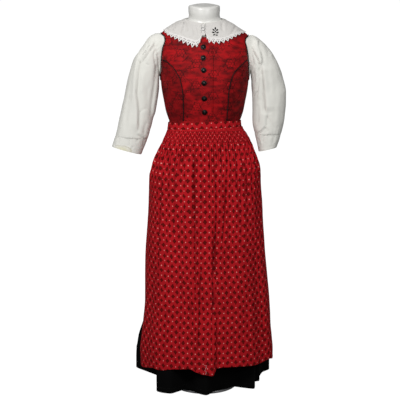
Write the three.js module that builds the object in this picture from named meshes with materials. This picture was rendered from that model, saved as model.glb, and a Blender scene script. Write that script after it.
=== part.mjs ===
// A dirndl on a limbless dress form: blouse, bodice, skirt and apron, built panel by panel.
// Millimetres, +Z up, front towards -Y. "_r" is the wearer's right side (-X), "_l" the wearer's left (+X).
// Angles (deg) run round the body: 0 front, -90 wearer's right, +90 wearer's left, 180 back.
import * as THREE from 'three';

const DEG = Math.PI / 180;

// ---------------------------------------------------------------- driving sizes
const LAYER = {                    // distance of each layer out from the figure
  form: -6.0,                      // the form itself stays this far inside the figure
  blouseIn: 1.0, blouseOut: 2.2,
  bodiceIn: 5.0, bodiceOut: 7.0,
  lapLift: 3.2,                    // the buttoned front edge rides over the under one by this much
  collarIn: 10.6, collarOut: 11.8,
  collarRoot: 3.8,                 // collar at its neck seam
  bandIn: 9.0, bandOut: 11.0,      // apron waistband and ties
};
const SEAM = 0.3;                  // clear gap kept at every seam
const PIPING_R = 1.6;              // piping cord radius
const BUTTON_D = 18;               // domed metal buttons
const LACE_W = 15, LACE_PITCH = 17.5, LACE_TOOTH = 8;
const SKIRT_WALL = 1.6, APRON_WALL = 1.2, SLEEVE_WALL = 1.2, CUFF_WALL = 1.6, SMOCK_WALL = 3.0;
const APRON_CLEAR = 5;             // apron rides this far outside the skirt
const HEM_Z = 17;
const WAIST_Z = 1008.4, WAIST_TILT = 5; // waist seam: height, and how much the wearer's left side rides up
const BAND_H = 26, SMOCK_LOW_Z = 935;
const SHOULDER_DROP = 8, NECK_SHIFT = 1.8; // the form stands a little askew: left shoulder lower, neck off centre
const POLE_R = 14, BASE_R = 125, BASE_T = 10;

// ---------------------------------------------------------------- the figure (form surface)
// half width, depth to front and to back, ring height at side, front and back, and squareness
const FIGURE = [
  // a,   f,    b,   zs,   zf,   zb,   n
  [150, 102, 120,  760,  760,  760, 2.2],
  [163, 109, 130,  830,  830,  830, 2.2],
  [147, 104, 120,  900,  900,  900, 2.2],
  [132,  96, 102,  955,  955,  955, 2.15],
  [124,  92,  90, 1005, 1005, 1005, 2.15],
  [129,  95,  90, 1024, 1024, 1024, 2.15],
  [136.5, 101, 92, 1048, 1048, 1048, 2.2],
  [143.5, 109, 96, 1085, 1085, 1085, 2.3],
  [150, 114, 101, 1120, 1120, 1120, 2.4],
  [154, 115.5, 106, 1160, 1160, 1160, 2.5],
  [154.5, 112, 110, 1205, 1202, 1205, 2.5],
  [154.5, 105, 111, 1245, 1238, 1248, 2.5],
  [155.5, 95, 108, 1282, 1271, 1290, 2.5],
  [156.5, 82, 101, 1308, 1300, 1322, 2.45],
  [150.5, 74.5, 91, 1325, 1316, 1343, 2.4],
  [134, 69.5, 81, 1336, 1328, 1358, 2.3],
  [112, 65.5, 72, 1349.5, 1339, 1371, 2.2],
  [90, 62.5, 64, 1363.5, 1349, 1383, 2.1],
  [72, 60, 58, 1376, 1358, 1393, 2.05],
  [61.5, 57.5, 54.5, 1389, 1368, 1402, 2],
  [57.8, 56, 53, 1403, 1386, 1414, 2],
  [57.3, 55.5, 53, 1420, 1407, 1432, 2],
];

// ---------------------------------------------------------------- panels on the figure
// Each row of a panel runs between two seams; angle and ring level of its two ends, bottom to top.
// The fronts: outer end on the princess seam then the armhole, inner end on the front edge then the neckline.
const FRONT_ROWS = [
  // outer, level, inner, level      (wearer's right front; inner edge laps past the centre)
  [-44.0, 4.06, 17.0, 4.06],
  [-41.5, 5.2, 16.2, 5.2],
  [-38.0, 6.5, 15.0, 6.5],
  [-36.0, 7.8, 14.4, 7.8],
  [-39.0, 9.0, 14.0, 9.0],
  [-43.0, 9.4, 14.2, 9.6],
  [-49.0, 9.9, 14.5, 10.2],
  [-57.0, 10.3, 15.0, 10.8],
  [-65.0, 10.55, 15.6, 11.3],
  [-75.0, 10.7, 16.4, 11.8],
  [-73.0, 11.5, 17.6, 12.3],
  [-69.5, 12.3, 19.0, 12.8],
  [-70.5, 12.85, 20.0, 13.25],
  [-73.5, 13.3, -8.0, 13.25],
  [-79.0, 13.6, -38.0, 13.7],
  [-85.0, 13.8, -62.0, 14.8],
  [-88.6, 13.86, -76.0, 15.7],
  [-91.0, 13.88, -88.0, 16.4],
];
const FRONT_LEFT_ROWS = [
  // outer, level, inner, level      (wearer's left front; inner edge runs under the lap)
  [46.5, 4.06, -1.0, 4.06],
  [43.5, 5.2, -1.0, 5.2],
  [41.0, 6.5, -1.0, 6.5],
  [39.0, 7.9, -1.0, 7.9],
  [42.0, 9.0, -1.0, 9.1],
  [46.0, 9.5, -1.0, 9.7],
  [53.0, 9.9, -1.0, 10.3],
  [62.0, 10.3, -1.0, 10.9],
  [69.0, 10.55, -1.0, 11.4],
  [75.5, 10.7, -1.0, 11.9],
  [73.0, 11.5, -1.0, 12.3],
  [71.0, 12.3, -1.0, 12.8],
  [72.0, 12.85, -1.0, 13.2],
  [75.0, 13.3, 10.0, 13.2],
  [80.0, 13.6, 38.0, 13.7],
  [85.5, 13.8, 62.0, 14.8],
  [88.6, 13.86, 76.0, 15.7],
  [91.0, 13.88, 88.0, 16.4],
];
const SIDE_FRONT_ROWS = [
  // side,  level, princess, level   (wearer's right)
  [-96.0, 4.06, -44.0, 4.06],
  [-96.0, 5.2, -41.5, 5.2],
  [-95.5, 6.5, -38.0, 6.5],
  [-95.0, 7.7, -36.0, 7.8],
  [-93.5, 8.7, -39.0, 9.0],
  [-92.0, 9.05, -43.0, 9.4],
  [-85.0, 9.15, -49.0, 9.9],
  [-79.5, 9.45, -57.0, 10.3],
  [-76.8, 9.95, -65.0, 10.55],
  [-75.7, 10.55, -74.4, 10.68],
];
const SIDE_FRONT_LEFT_ROWS = [
  [96.0, 4.06, 46.5, 4.06],
  [96.0, 5.2, 43.5, 5.2],
  [95.5, 6.5, 41.0, 6.5],
  [95.0, 7.7, 39.0, 7.9],
  [93.5, 8.7, 42.0, 9.0],
  [92.0, 9.05, 46.0, 9.5],
  [86.0, 9.15, 53.0, 9.9],
  [80.5, 9.45, 62.0, 10.3],
  [77.6, 9.95, 69.0, 10.55],
  [76.3, 10.55, 75.0, 10.68],
];
const BACK_ROWS = [
  // side, level, centre back then neckline, level   (one half, mirrored about the centre back)
  [96.0, 4.06, 180, 4.06],
  [96.0, 5.2, 180, 5.2],
  [95.5, 6.5, 180, 6.5],
  [95.0, 7.7, 180, 7.7],
  [93.5, 8.7, 180, 8.9],
  [92.0, 9.05, 180, 9.8],
  [100.5, 9.5, 180, 10.7],
  [107.5, 10.7, 180, 11.6],
  [108.2, 12.0, 180, 12.6],
  [102.5, 13.1, 180, 13.6],
  [97.0, 13.6, 180, 14.45],
  [93.6, 13.82, 145, 14.75],
  [92.2, 13.86, 116, 15.4],
  [91.0, 13.88, 88.0, 16.4],
];
const BLOUSE_ROWS = [
  // side then armhole, level, centre front then neck seam, level   (one half)
  [90.0, 6.9, 0, 6.9],
  [90.0, 9.3, 0, 9.4],
  [80.5, 9.7, 0, 11.2],
  [77.4, 11.2, 0, 13.2],
  [78.8, 12.5, 0, 15.4],
  [84.5, 13.4, 0, 18.0],
  [88.0, 13.6, 45, 18.0],
  [90.0, 13.63, 90, 18.0],
];
const BLOUSE_BACK_ROWS = [
  // side then armhole, level, centre back then neck seam, level   (one half)
  [90.0, 6.9, 180, 6.9],
  [90.0, 9.3, 180, 9.4],
  [99.5, 9.7, 180, 11.2],
  [102.6, 11.2, 180, 13.2],
  [101.2, 12.5, 180, 15.4],
  [95.5, 13.4, 180, 18.0],
  [92.0, 13.6, 135, 18.0],
  [90.0, 13.63, 90, 18.0],
];
// collar: where each line from the neck seam ends at the outer lace edge, from one front corner
// round the back to the other
const COLLAR_LINES = [
  // neck, outer, level
  [-1.2, -2.2, 15.6],
  [-3.0, -4.6, 14.3],
  [-6.5, -9.0, 12.9],
  [-10, -12.0, 12.2],
  [-15, -16.5, 11.85],
  [-22, -23.0, 11.8],
  [-32, -31.0, 11.95],
  [-44, -42.0, 12.2],
  [-58, -54.0, 12.6],
  [-74, -66.0, 13.2],
  [-88, -79.0, 14.15],
  [-98, -92.0, 14.42],
  [-110, -108.0, 14.2],
  [-126, -128.0, 13.7],
  [-144, -148.0, 13.4],
  [-165, -166.0, 13.3],
  [-180, -180.0, 13.3],
  [-195, -194.0, 13.3],
  [-216, -212.0, 13.4],
  [-234, -232.0, 13.7],
  [-250, -252.0, 14.2],
  [-262, -268.0, 14.42],
  [-272, -282.0, 14.2],
  [-286, -295.0, 13.7],
  [-302, -306.0, 13.0],
  [-316, -318.0, 12.45],
  [-330, -330.0, 12.25],
  [-340, -340.0, 12.25],
  [-347, -348.5, 12.3],
  [-352, -353.5, 12.6],
  [-355, -356.0, 13.1],
  [-357, -357.3, 14.2],
  [-358.8, -357.9, 15.6],
];
const COLLAR_NECK_LEVEL = 17.95;

// sleeves: outer and inner line of the sleeve, its centre in depth and its half depth
const SLEEVE_R = [
  // ox,   oz,   ix,   iz,  yc, dep
  [-176, 1327, -167, 1187, 4, 51],
  [-198, 1317, -168.5, 1172, 3, 58],
  [-221, 1289, -169, 1155, 2, 62],
  [-246, 1252, -168.5, 1135, 0, 62],
  [-266, 1212, -170, 1115, -2, 60],
  [-281, 1160, -174.5, 1085, -4, 57],
  [-292, 1110, -181.5, 1053, -7, 55],
  [-303, 1063, -189, 1024, -10, 53],
  [-316, 1008, -197.5, 988, -15, 51],
  [-328.5, 955.5, -209.5, 947.5, -19, 49],
];
const CUFF_R = [
  [-329.0, 953.5, -210, 945.5, -19, 48],
  [-336, 933, -219, 921, -21, 47.5],
  [-341, 916, -234, 887, -24, 46.5],
];
const SLEEVE_L = [
  // ox,   oz,   ix,   iz,  yc, dep
  [174, 1319, 168, 1185, 4, 51],
  [197, 1308, 171, 1170, 3, 59],
  [223, 1285, 173.5, 1153, 2, 63],
  [249, 1252, 174, 1133, 0, 63],
  [271, 1211, 175, 1110, -2, 61],
  [288, 1162, 175.5, 1082, -4, 59],
  [298.5, 1118, 175.5, 1057, -7, 57],
  [298, 1070, 175.5, 1031, -10, 55],
  [292, 1010, 177, 995, -15, 52],
  [281, 965, 184, 964, -19, 49],
];
const CUFF_L = [
  [280.5, 962.8, 184.3, 961.8, -19, 48],
  [275, 940, 192, 933, -21, 47],
  [265, 914, 200, 898, -23, 45],
];
// the armhole loop that both sleeve heads are set into
const ARMHOLE = { at: 90, half: 13.2, level: 11.5, rise: 2.16, off: 3.0 };

// skirt and apron: outer line of the whole at each height
const SKIRT_LINE = [
  // z,  right, left, front, back
  [1014, 130.5, 130.5, 98, 96],
  [1005, 130.5, 130.5, 98.5, 96.5],
  [978, 130, 133, 100.5, 101],
  [950, 143, 152, 106, 112],
  [930, 150, 163, 110, 122],
  [900, 161, 174, 119, 138],
  [863, 180, 192, 129, 150],
  [833, 191, 203, 137, 158],
  [806, 201, 206, 143, 164],
  [712, 206, 215, 154, 174],
  [521, 220, 230, 168, 187],
  [327, 228, 248, 180, 195],
  [149, 240, 256, 190, 200],
  [17, 245, 258, 195, 205],
];
const APRON_LINE = [
  // z,  right, left, front
  [985, 134.5, 139, 105],
  [978, 135.5, 142, 105.5],
  [955, 144, 158, 109],
  [930, 156, 171, 114],
  [900, 167, 180, 123],
  [863, 184, 196, 133],
  [833, 194, 205, 140],
  [806, 202.5, 207, 146],
  [712, 206, 215, 156],
  [521, 219, 230, 170],
  [327, 228, 249, 182],
  [229, 238, 255, 188],
  [149, 247, 263, 193],
  [75, 245, 263, 195],
];
// the skirt's hem: one row for each ridge, hollow and flank of its folds
const HEM_FOLDS = [
  // angle, radius
  [-180, 205], [-170, 222], [-160, 198], [-151, 224], [-143, 205], [-134, 232], [-126, 240],
  [-117, 307], [-108, 238], [-99, 186], [-90, 170], [-78, 176], [-68, 188], [-58, 206],
  [-50, 232], [-43, 251], [-37, 214], [-31, 142], [-25, 134], [-18, 142], [-10, 162], [-4, 175],
  [2, 183], [8, 166], [13.5, 145], [20, 136], [28, 132], [36, 134], [44, 140], [50, 147],
  [54, 182], [57.5, 219], [63, 212], [70, 194], [76.5, 189], [81.5, 213], [88, 210], [94.5, 215],
  [101, 226], [107, 243], [112, 278], [118, 266], [125, 230], [132, 240], [140, 212], [148, 226],
  [157, 200], [166, 220], [174, 204],
];
const FOLD_REACH = 783, FOLD_POWER = 1.6, FOLD_GAIN = 1.15;   // how far up the hem folds carry
// the apron's own folds: angle at the hem and at the top, width, depth, and heights they run between
const APRON_FOLDS = [
  // atHem, atTop, width, out, top,  low
  [-16, -17, 3.2, -7, 880, 300],
  [-9.5, -10.5, 5.0, 5, 860, 75],
  [13.5, 12.5, 3.0, -9, 760, 75],
  [7.5, 8.0, 4.6, 9, 700, 75],
  [-3, -1, 5.0, 5, 360, 75],
  [30, 26, 4.5, -5, 905, 420],
  [38, 34, 6.0, 3, 905, 300],
  [61, 58, 6.0, -9, 640, 75],
  [72, 68, 7.0, 4, 640, 75],
  [-33, -34, 5.5, -5, 800, 75],
  [-47, -46, 7.0, 4, 800, 75],
  [-66, -64, 6.0, -6, 620, 75],
];
const APRON_HEM = [
  // angle, z
  [-84, 80], [-75, 84], [-64, 94], [-55, 104], [-47, 103], [-38, 109], [-27, 115], [-16, 119],
  [-10, 111], [-5, 104], [0.6, 99], [7.4, 97], [11, 101], [13.6, 119], [20, 125], [30, 124],
  [39.5, 122], [50, 119], [60, 117], [69, 124], [78, 114], [86, 108],
];
const APRON_EDGE = [
  // z, right edge, left edge (deg)
  [985, -112, 112], [930, -110, 110], [900, -105, 105], [806, -97, 97], [521, -92, 93], [327, -88, 90],
  [149, -84.5, 86.5], [75, -84, 86],
];
const BUTTONS = [
  // z, angle
  [1270, -3.2], [1233, -2.8], [1191, -2.0], [1147.5, -1.4], [1094.5, -1.0], [1046.5, -0.2],
];

// ---------------------------------------------------------------- small helpers
const clamp = (x, a, b) => Math.min(b, Math.max(a, x));
const lerp = (a, b, t) => a + (b - a) * t;
const smooth = (a, b, x) => { const t = clamp((x - a) / (b - a), 0, 1); return t * t * (3 - 2 * t); };
const V = (x, y, z) => new THREE.Vector3(x, y, z);

// smooth curve through the rows of a table, without overshoot
function tableRow(rows, v) {
  const last = rows.length - 1;
  v = clamp(v, 0, last);
  const i = Math.min(Math.floor(v), last - 1), t = v - i;
  const p0 = rows[Math.max(i - 1, 0)], p1 = rows[i], p2 = rows[i + 1], p3 = rows[Math.min(i + 2, last)];
  const h00 = 2 * t ** 3 - 3 * t ** 2 + 1, h10 = t ** 3 - 2 * t ** 2 + t, h01 = 3 * t ** 2 - 2 * t ** 3, h11 = t ** 3 - t ** 2;
  return p1.map((a, k) => {
    const d = p2[k] - a;
    const lim = (m) => (m * d <= 0 ? 0 : Math.abs(m) > 3 * Math.abs(d) ? 3 * d : m);
    return h00 * a + h10 * lim((p2[k] - p0[k]) / 2) + h01 * p2[k] + h11 * lim((p3[k] - a) / 2);
  });
}
// the same for a table whose first column is a height or an angle
function tableAt(rows, x) {
  const down = rows[0][0] > rows[rows.length - 1][0];
  let i = 0;
  while (i < rows.length - 2 && (down ? rows[i + 1][0] > x : rows[i + 1][0] < x)) i++;
  const t = clamp((x - rows[i][0]) / (rows[i + 1][0] - rows[i][0]), 0, 1);
  return tableRow(rows, i + t);
}

// ---------------------------------------------------------------- the figure's surface
function figure(deg, level) {
  const [a, f, b, zs, zf, zb, n] = tableRow(FIGURE, level);
  const s = Math.sin(deg * DEG), c = Math.cos(deg * DEG), d = c > 0 ? f : b;
  const r = (Math.abs(s / a) ** n + Math.abs(c / d) ** n) ** (-1 / n);
  const z = zs + (zf - zs) * Math.max(c, 0) ** 1.5 + (zb - zs) * Math.max(-c, 0) ** 1.5;
  const drop = SHOULDER_DROP * Math.max(s, 0) * smooth(10.5, 13.5, level) * (1 - smooth(15.5, 19, level));
  return V(r * s - NECK_SHIFT * smooth(17.5, 20, level), -r * c, z - drop);
}
function figureNormal(deg, level) {
  const v0 = Math.max(level - 0.05, 0), v1 = Math.min(level + 0.05, FIGURE.length - 1);
  const du = figure(deg + 0.5, level).sub(figure(deg - 0.5, level));
  const dv = figure(deg, v1).sub(figure(deg, v0));
  return du.cross(dv).normalize();
}
const onFigure = (deg, level, off) => figure(deg, level).addScaledVector(figureNormal(deg, level), off);
function levelAtHeight(deg, z) {
  let lo = 0, hi = FIGURE.length - 1;
  for (let k = 0; k < 40; k++) { const m = (lo + hi) / 2; if (figure(deg, m).z < z) lo = m; else hi = m; }
  return (lo + hi) / 2;
}

const waistZ = (deg) => WAIST_Z + WAIST_TILT * Math.sin(deg * DEG);

// ---------------------------------------------------------------- solids from sheets
// A sheet is a list of grids of outer and inner points; grids that share an edge are welded, and the
// free edges are closed with rims, so that each piece is one closed body of cloth.
function shell(grids) {
  const outer = [], inner = [], keyOf = new Map(), tris = [];
  const id = (o, i) => {
    const k = `${o.x.toFixed(3)},${o.y.toFixed(3)},${o.z.toFixed(3)}`;
    if (!keyOf.has(k)) { keyOf.set(k, outer.length); outer.push(o); inner.push(i); }
    return keyOf.get(k);
  };
  for (const { out, inn, flip } of grids) {
    for (let r = 0; r + 1 < out.length; r++) for (let c = 0; c + 1 < out[r].length; c++) {
      const A = id(out[r][c], inn[r][c]), B = id(out[r][c + 1], inn[r][c + 1]);
      const C = id(out[r + 1][c + 1], inn[r + 1][c + 1]), E = id(out[r + 1][c], inn[r + 1][c]);
      // split along the shorter diagonal
      const ac = outer[A].distanceToSquared(outer[C]), be = outer[B].distanceToSquared(outer[E]);
      const two = ac <= be ? [[A, B, C], [A, C, E]] : [[A, B, E], [B, C, E]];
      for (const t of two) {
        if (t[0] === t[1] || t[1] === t[2] || t[0] === t[2]) continue;
        tris.push(flip ? [t[0], t[2], t[1]] : t);
      }
    }
  }
  const edges = new Map();
  for (const [a, b, c] of tris) for (const [p, q] of [[a, b], [b, c], [c, a]]) edges.set(`${p},${q}`, [p, q]);
  const n = outer.length, faces = [];
  for (const [a, b, c] of tris) { faces.push(a, b, c, n + a, n + c, n + b); }
  for (const [p, q] of edges.values()) if (!edges.has(`${q},${p}`)) faces.push(q, p, n + p, q, n + p, n + q);
  const pos = [];
  for (const v of [...outer, ...inner]) pos.push(v.x, v.y, v.z);
  const g = new THREE.BufferGeometry();
  g.setAttribute('position', new THREE.Float32BufferAttribute(pos, 3));
  g.setIndex(faces);
  g.computeVertexNormals();
  return g;
}

// a panel between two seams, on the figure; lift(deg, level) raises it locally
function panelGrid(rows, cols, sub, layerIn, layerOut, opt = {}) {
  const lift = opt.lift || (() => 0), out = [], inn = [];
  const n = (rows.length - 1) * sub;
  for (let r = 0; r <= n; r++) {
    const [d0, l0, d1, l1] = tableRow(rows, r / sub);
    const A = figure(d0, l0), B = figure(d1, l1), len = A.distanceTo(B);
    let s0 = (opt.gap0 ?? SEAM / 2) / len, s1 = 1 - (opt.gap1 ?? SEAM / 2) / len;
    const ro = [], ri = [];
    for (let c = 0; c <= cols; c++) {
      const s = lerp(s0, s1, c / cols);
      const deg = lerp(d0, d1, s);
      let lev = lerp(l0, l1, s);
      if (r === 0 && opt.waist) lev = levelAtHeight(deg, waistZ(deg) + SEAM);
      const up = lift(deg, lev);
      ro.push(onFigure(deg, lev, layerOut + up)); ri.push(onFigure(deg, lev, layerIn + up));
    }
    out.push(ro); inn.push(ri);
  }
  return { out, inn, flip: opt.flip };
}
const mirrorRows = (rows) => rows.map(([a, b, c, d]) => [-a, b, -c, d]);
// pull the last row back a little so that the two sides of a shoulder seam stay clear
const seamRows = (rows, by) => rows.map((r, i) => (i === rows.length - 1 ? [r[0] + by, r[1], r[2] + by, r[3]] : r));

// a tube of cloth from closed rings of outer points, wall thickness going inwards
function tubeShell(rings, wall, inwards) {
  const n = rings[0].length, out = [], inn = [];
  for (let k = 0; k < rings.length; k++) {
    const ro = [], ri = [];
    for (let j = 0; j < n; j++) {
      const p = rings[k][j];
      const du = rings[k][(j + 1) % n].clone().sub(rings[k][(j + n - 1) % n]);
      const dv = rings[Math.min(k + 1, rings.length - 1)][j].clone().sub(rings[Math.max(k - 1, 0)][j]);
      const nn = inwards ? inwards(k, j, du, dv) : du.clone().cross(dv).normalize();
      ro.push(p); ri.push(p.clone().addScaledVector(nn, -wall));
    }
    ro.push(ro[0]); ri.push(ri[0]);
    out.push(ro); inn.push(ri);
  }
  return { out, inn };
}
// a cord along points, with a square-set section
function cord(points, normals, r, closed, sides = 4) {
  const n = points.length, pos = [], idx = [];
  for (let i = 0; i < n; i++) {
    const a = points[closed ? (i + n - 1) % n : Math.max(i - 1, 0)], b = points[closed ? (i + 1) % n : Math.min(i + 1, n - 1)];
    const t = b.clone().sub(a).normalize(), nn = normals[i].clone();
    nn.addScaledVector(t, -nn.dot(t)).normalize();
    const bb = t.clone().cross(nn);
    for (let k = 0; k < sides; k++) {
      const w = (k + 0.5) / sides * 2 * Math.PI;
      const p = points[i].clone().addScaledVector(nn, r * Math.cos(w)).addScaledVector(bb, r * Math.sin(w));
      pos.push(p.x, p.y, p.z);
    }
  }
  const segs = closed ? n : n - 1;
  for (let i = 0; i < segs; i++) for (let k = 0; k < sides; k++) {
    const j = (i + 1) % n, a = i * sides + k, b = i * sides + (k + 1) % sides, c = j * sides + (k + 1) % sides, d = j * sides + k;
    idx.push(a, b, c, a, c, d);
  }
  if (!closed) {
    for (let k = 1; k + 1 < sides; k++) { idx.push(0, k + 1, k); const m = (n - 1) * sides; idx.push(m, m + k, m + k + 1); }
  }
  const g = new THREE.BufferGeometry();
  g.setAttribute('position', new THREE.Float32BufferAttribute(pos, 3));
  g.setIndex(idx);
  g.computeVertexNormals();
  return g;
}
// a solid body from closed rings stacked bottom to top, with flat ends
function solidStack(rings) {
  const n = rings[0].length, pos = [], idx = [];
  for (const r of rings) for (const p of r) pos.push(p.x, p.y, p.z);
  for (let k = 0; k + 1 < rings.length; k++) for (let j = 0; j < n; j++) {
    const a = k * n + j, b = k * n + (j + 1) % n, c = (k + 1) * n + (j + 1) % n, d = (k + 1) * n + j;
    idx.push(a, b, c, a, c, d);
  }
  const cap = (ring, up) => {
    const c = ring.reduce((s, p) => s.add(p), V(0, 0, 0)).multiplyScalar(1 / n), ci = pos.length / 3;
    pos.push(c.x, c.y, c.z);
    const o = up ? (rings.length - 1) * n : 0;
    for (let j = 0; j < n; j++) { const a = o + j, b = o + (j + 1) % n; if (up) idx.push(a, b, ci); else idx.push(b, a, ci); }
  };
  cap(rings[0], false); cap(rings[rings.length - 1], true);
  const g = new THREE.BufferGeometry();
  g.setAttribute('position', new THREE.Float32BufferAttribute(pos, 3));
  g.setIndex(idx);
  g.computeVertexNormals();
  return g;
}

// ---------------------------------------------------------------- materials
const M = (color, roughness, metalness = 0) => new THREE.MeshStandardMaterial({ color, roughness, metalness });
const MAT = {
  form: M(0xe6e5e1, 0.18), pole: M(0xb8b8b8, 0.35, 0.9), blouse: M(0xe3dfdc, 0.85), lace: M(0xe0dcda, 0.9),
  brocade: M(0x7a1618, 0.55), piping: M(0x141112, 0.6), button: M(0x35322f, 0.35, 0.85), stud: M(0xb5b5b3, 0.3, 0.6),
  skirt: M(0x090909, 0.8), apron: M(0x92191f, 0.85),
};
const group = new THREE.Group();
group.name = 'dirndl_on_dress_form';
function add(name, geometry, material) {
  const m = new THREE.Mesh(geometry, material);
  m.name = name;
  group.add(m);
  return m;
}

// ---------------------------------------------------------------- dress form
{
  const steps = 36, rings = [];
  const levels = [0, 1, 2, 3, 4, 5, 6, 7, 8, 9, 10, 11, 12, 13, 14, 15, 16, 17, 18, 19, 20, 21];
  for (const v of levels) {
    const ring = [];
    for (let j = 0; j < steps; j++) ring.push(onFigure(j * 360 / steps, v, LAYER.form * (1 - smooth(18.6, 20.4, v))));
    rings.push(ring);
  }
  // rounded rim of the flat, slightly tilted neck cap
  for (const [inset, rise] of [[1.2, 4.2], [4.6, 7.0], [9.5, 8.0]]) {
    const ring = [];
    for (let j = 0; j < steps; j++) {
      const p = figure(j * 360 / steps, 21), s = 1 - inset / 56;
      ring.push(V(p.x * s, p.y * s, lerp(1419.5, p.z, s) + rise));
    }
    rings.push(ring);
  }
  add('form_torso', solidStack(rings), MAT.form);
  const pole = new THREE.CylinderGeometry(POLE_R, POLE_R, 760 - BASE_T - 2 * SEAM, 20);
  const pm = add('form_pole', pole, MAT.pole);
  pm.rotation.x = Math.PI / 2; pm.position.z = BASE_T + SEAM + (760 - BASE_T - 2 * SEAM) / 2;
  const base = add('form_base', new THREE.CylinderGeometry(BASE_R, BASE_R, BASE_T, 48), MAT.pole);
  base.rotation.x = Math.PI / 2; base.position.z = BASE_T / 2;
}

// ---------------------------------------------------------------- blouse
{
  const L = LAYER, o = { gap1: SEAM };
  add('blouse_front_l', shell([panelGrid(seamRows(BLOUSE_ROWS, -0.25), 8, 1, L.blouseIn, L.blouseOut, { ...o, flip: true })]), MAT.blouse);
  add('blouse_front_r', shell([panelGrid(mirrorRows(seamRows(BLOUSE_ROWS, -0.25)), 8, 1, L.blouseIn, L.blouseOut, o)]), MAT.blouse);
  const half = seamRows(BLOUSE_BACK_ROWS, 0.25);
  const noGap = { gap1: 0 };
  add('blouse_back', shell([
    panelGrid(half, 8, 1, L.blouseIn, L.blouseOut, noGap),
    panelGrid(mirrorRows(half), 8, 1, L.blouseIn, L.blouseOut, { ...noGap, flip: true }),
  ]), MAT.blouse);
}

// collar: lines from the neck seam to the outer edge; the lace takes the last stretch of each line
const collarSpan = (() => {
  // running length of the outer edge, to space the lace teeth evenly
  const N = (COLLAR_LINES.length - 1) * 8, pts = [];
  for (let i = 0; i <= N; i++) { const [, d, l] = tableRow(COLLAR_LINES, i / 8); pts.push(figure(d, l)); }
  const run = [0];
  for (let i = 1; i <= N; i++) run.push(run[i - 1] + pts[i].distanceTo(pts[i - 1]));
  return { at(s) { let i = 0; while (i < N - 1 && run[i + 1] < s) i++; return (i + clamp((s - run[i]) / (run[i + 1] - run[i]), 0, 1)) / 8; }, length: run[N] };
})();
function collarPoint(u, s, side) {           // u along the collar, s from neck (0) to lace edge (1)
  const [dn, d1, l1] = tableRow(COLLAR_LINES, u);
  const deg = lerp(dn, d1, s), lev = lerp(COLLAR_NECK_LEVEL, l1, s);
  const f = smooth(0, 0.42, s);
  const off = lerp(LAYER.collarRoot, LAYER.collarIn, f) + (side ? LAYER.collarOut - LAYER.collarIn : 0);
  return onFigure(deg, lev, off);
}
function collarLength(u) {
  const [dn, d1, l1] = tableRow(COLLAR_LINES, u);
  let sum = 0, p = figure(dn, COLLAR_NECK_LEVEL);
  for (let k = 1; k <= 12; k++) { const s = k / 12, q = figure(lerp(dn, d1, s), lerp(COLLAR_NECK_LEVEL, l1, s)); sum += q.distanceTo(p); p = q; }
  return sum;
}
{
  const cols = 36, rows = 3, out = [], inn = [];
  for (let r = 0; r <= rows; r++) {
    const ro = [], ri = [];
    for (let c = 0; c <= cols; c++) {
      const u = collarSpan.at(collarSpan.length * c / cols);
      const edge = 1 - (LACE_W + 2 * SEAM) / collarLength(u);
      const s = edge * [0, 0.2, 0.5, 1][r];
      ro.push(collarPoint(u, s, true)); ri.push(collarPoint(u, s, false));
    }
    out.push(ro); inn.push(ri);
  }
  add('blouse_collar', shell([{ out, inn }]), MAT.blouse);
  const teeth = Math.round(collarSpan.length / LACE_PITCH);
  const cut = [[], []], cui = [[], []];
  for (let c = 0; c <= teeth * 2; c++) {
    const u = collarSpan.at(collarSpan.length * c / (teeth * 2)), len = collarLength(u);
    const inner = 1 - LACE_W / len, outer = c % 2 ? 1 : 1 - LACE_TOOTH / len;
    cut[0].push(collarPoint(u, inner, true)); cui[0].push(collarPoint(u, inner, false));
    cut[1].push(collarPoint(u, outer, true)); cui[1].push(collarPoint(u, outer, false));
  }
  add('collar_lace', shell([{ out: cut, inn: cui }]), MAT.lace);
}
// neck tab that joins the collar ends, with its press stud
{
  const out = [[], []], inn = [[], []];
  for (let c = 0; c <= 3; c++) {
    const d = lerp(-8, 5, c / 3);
    for (const [k, lev] of [[0, 15.2], [1, 16.6]]) { out[k].push(onFigure(d, lev, 13.2)); inn[k].push(onFigure(d, lev, 12.2)); }
  }
  add('collar_tab', shell([{ out, inn }]), MAT.blouse);
  const g = new THREE.LatheGeometry([[0, 0], [6.2, 0], [6.8, 0.8], [6.2, 1.8], [4.2, 2.2], [3.4, 1.4], [0, 1.4]].map(([x, y]) => new THREE.Vector2(x, y)), 14);
  const m = add('collar_stud', g, MAT.stud), p = onFigure(-3.4, 15.9, 13.55), nn = figureNormal(-3.4, 15.9);
  m.quaternion.setFromUnitVectors(V(0, 1, 0), nn); m.position.copy(p);
}

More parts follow.
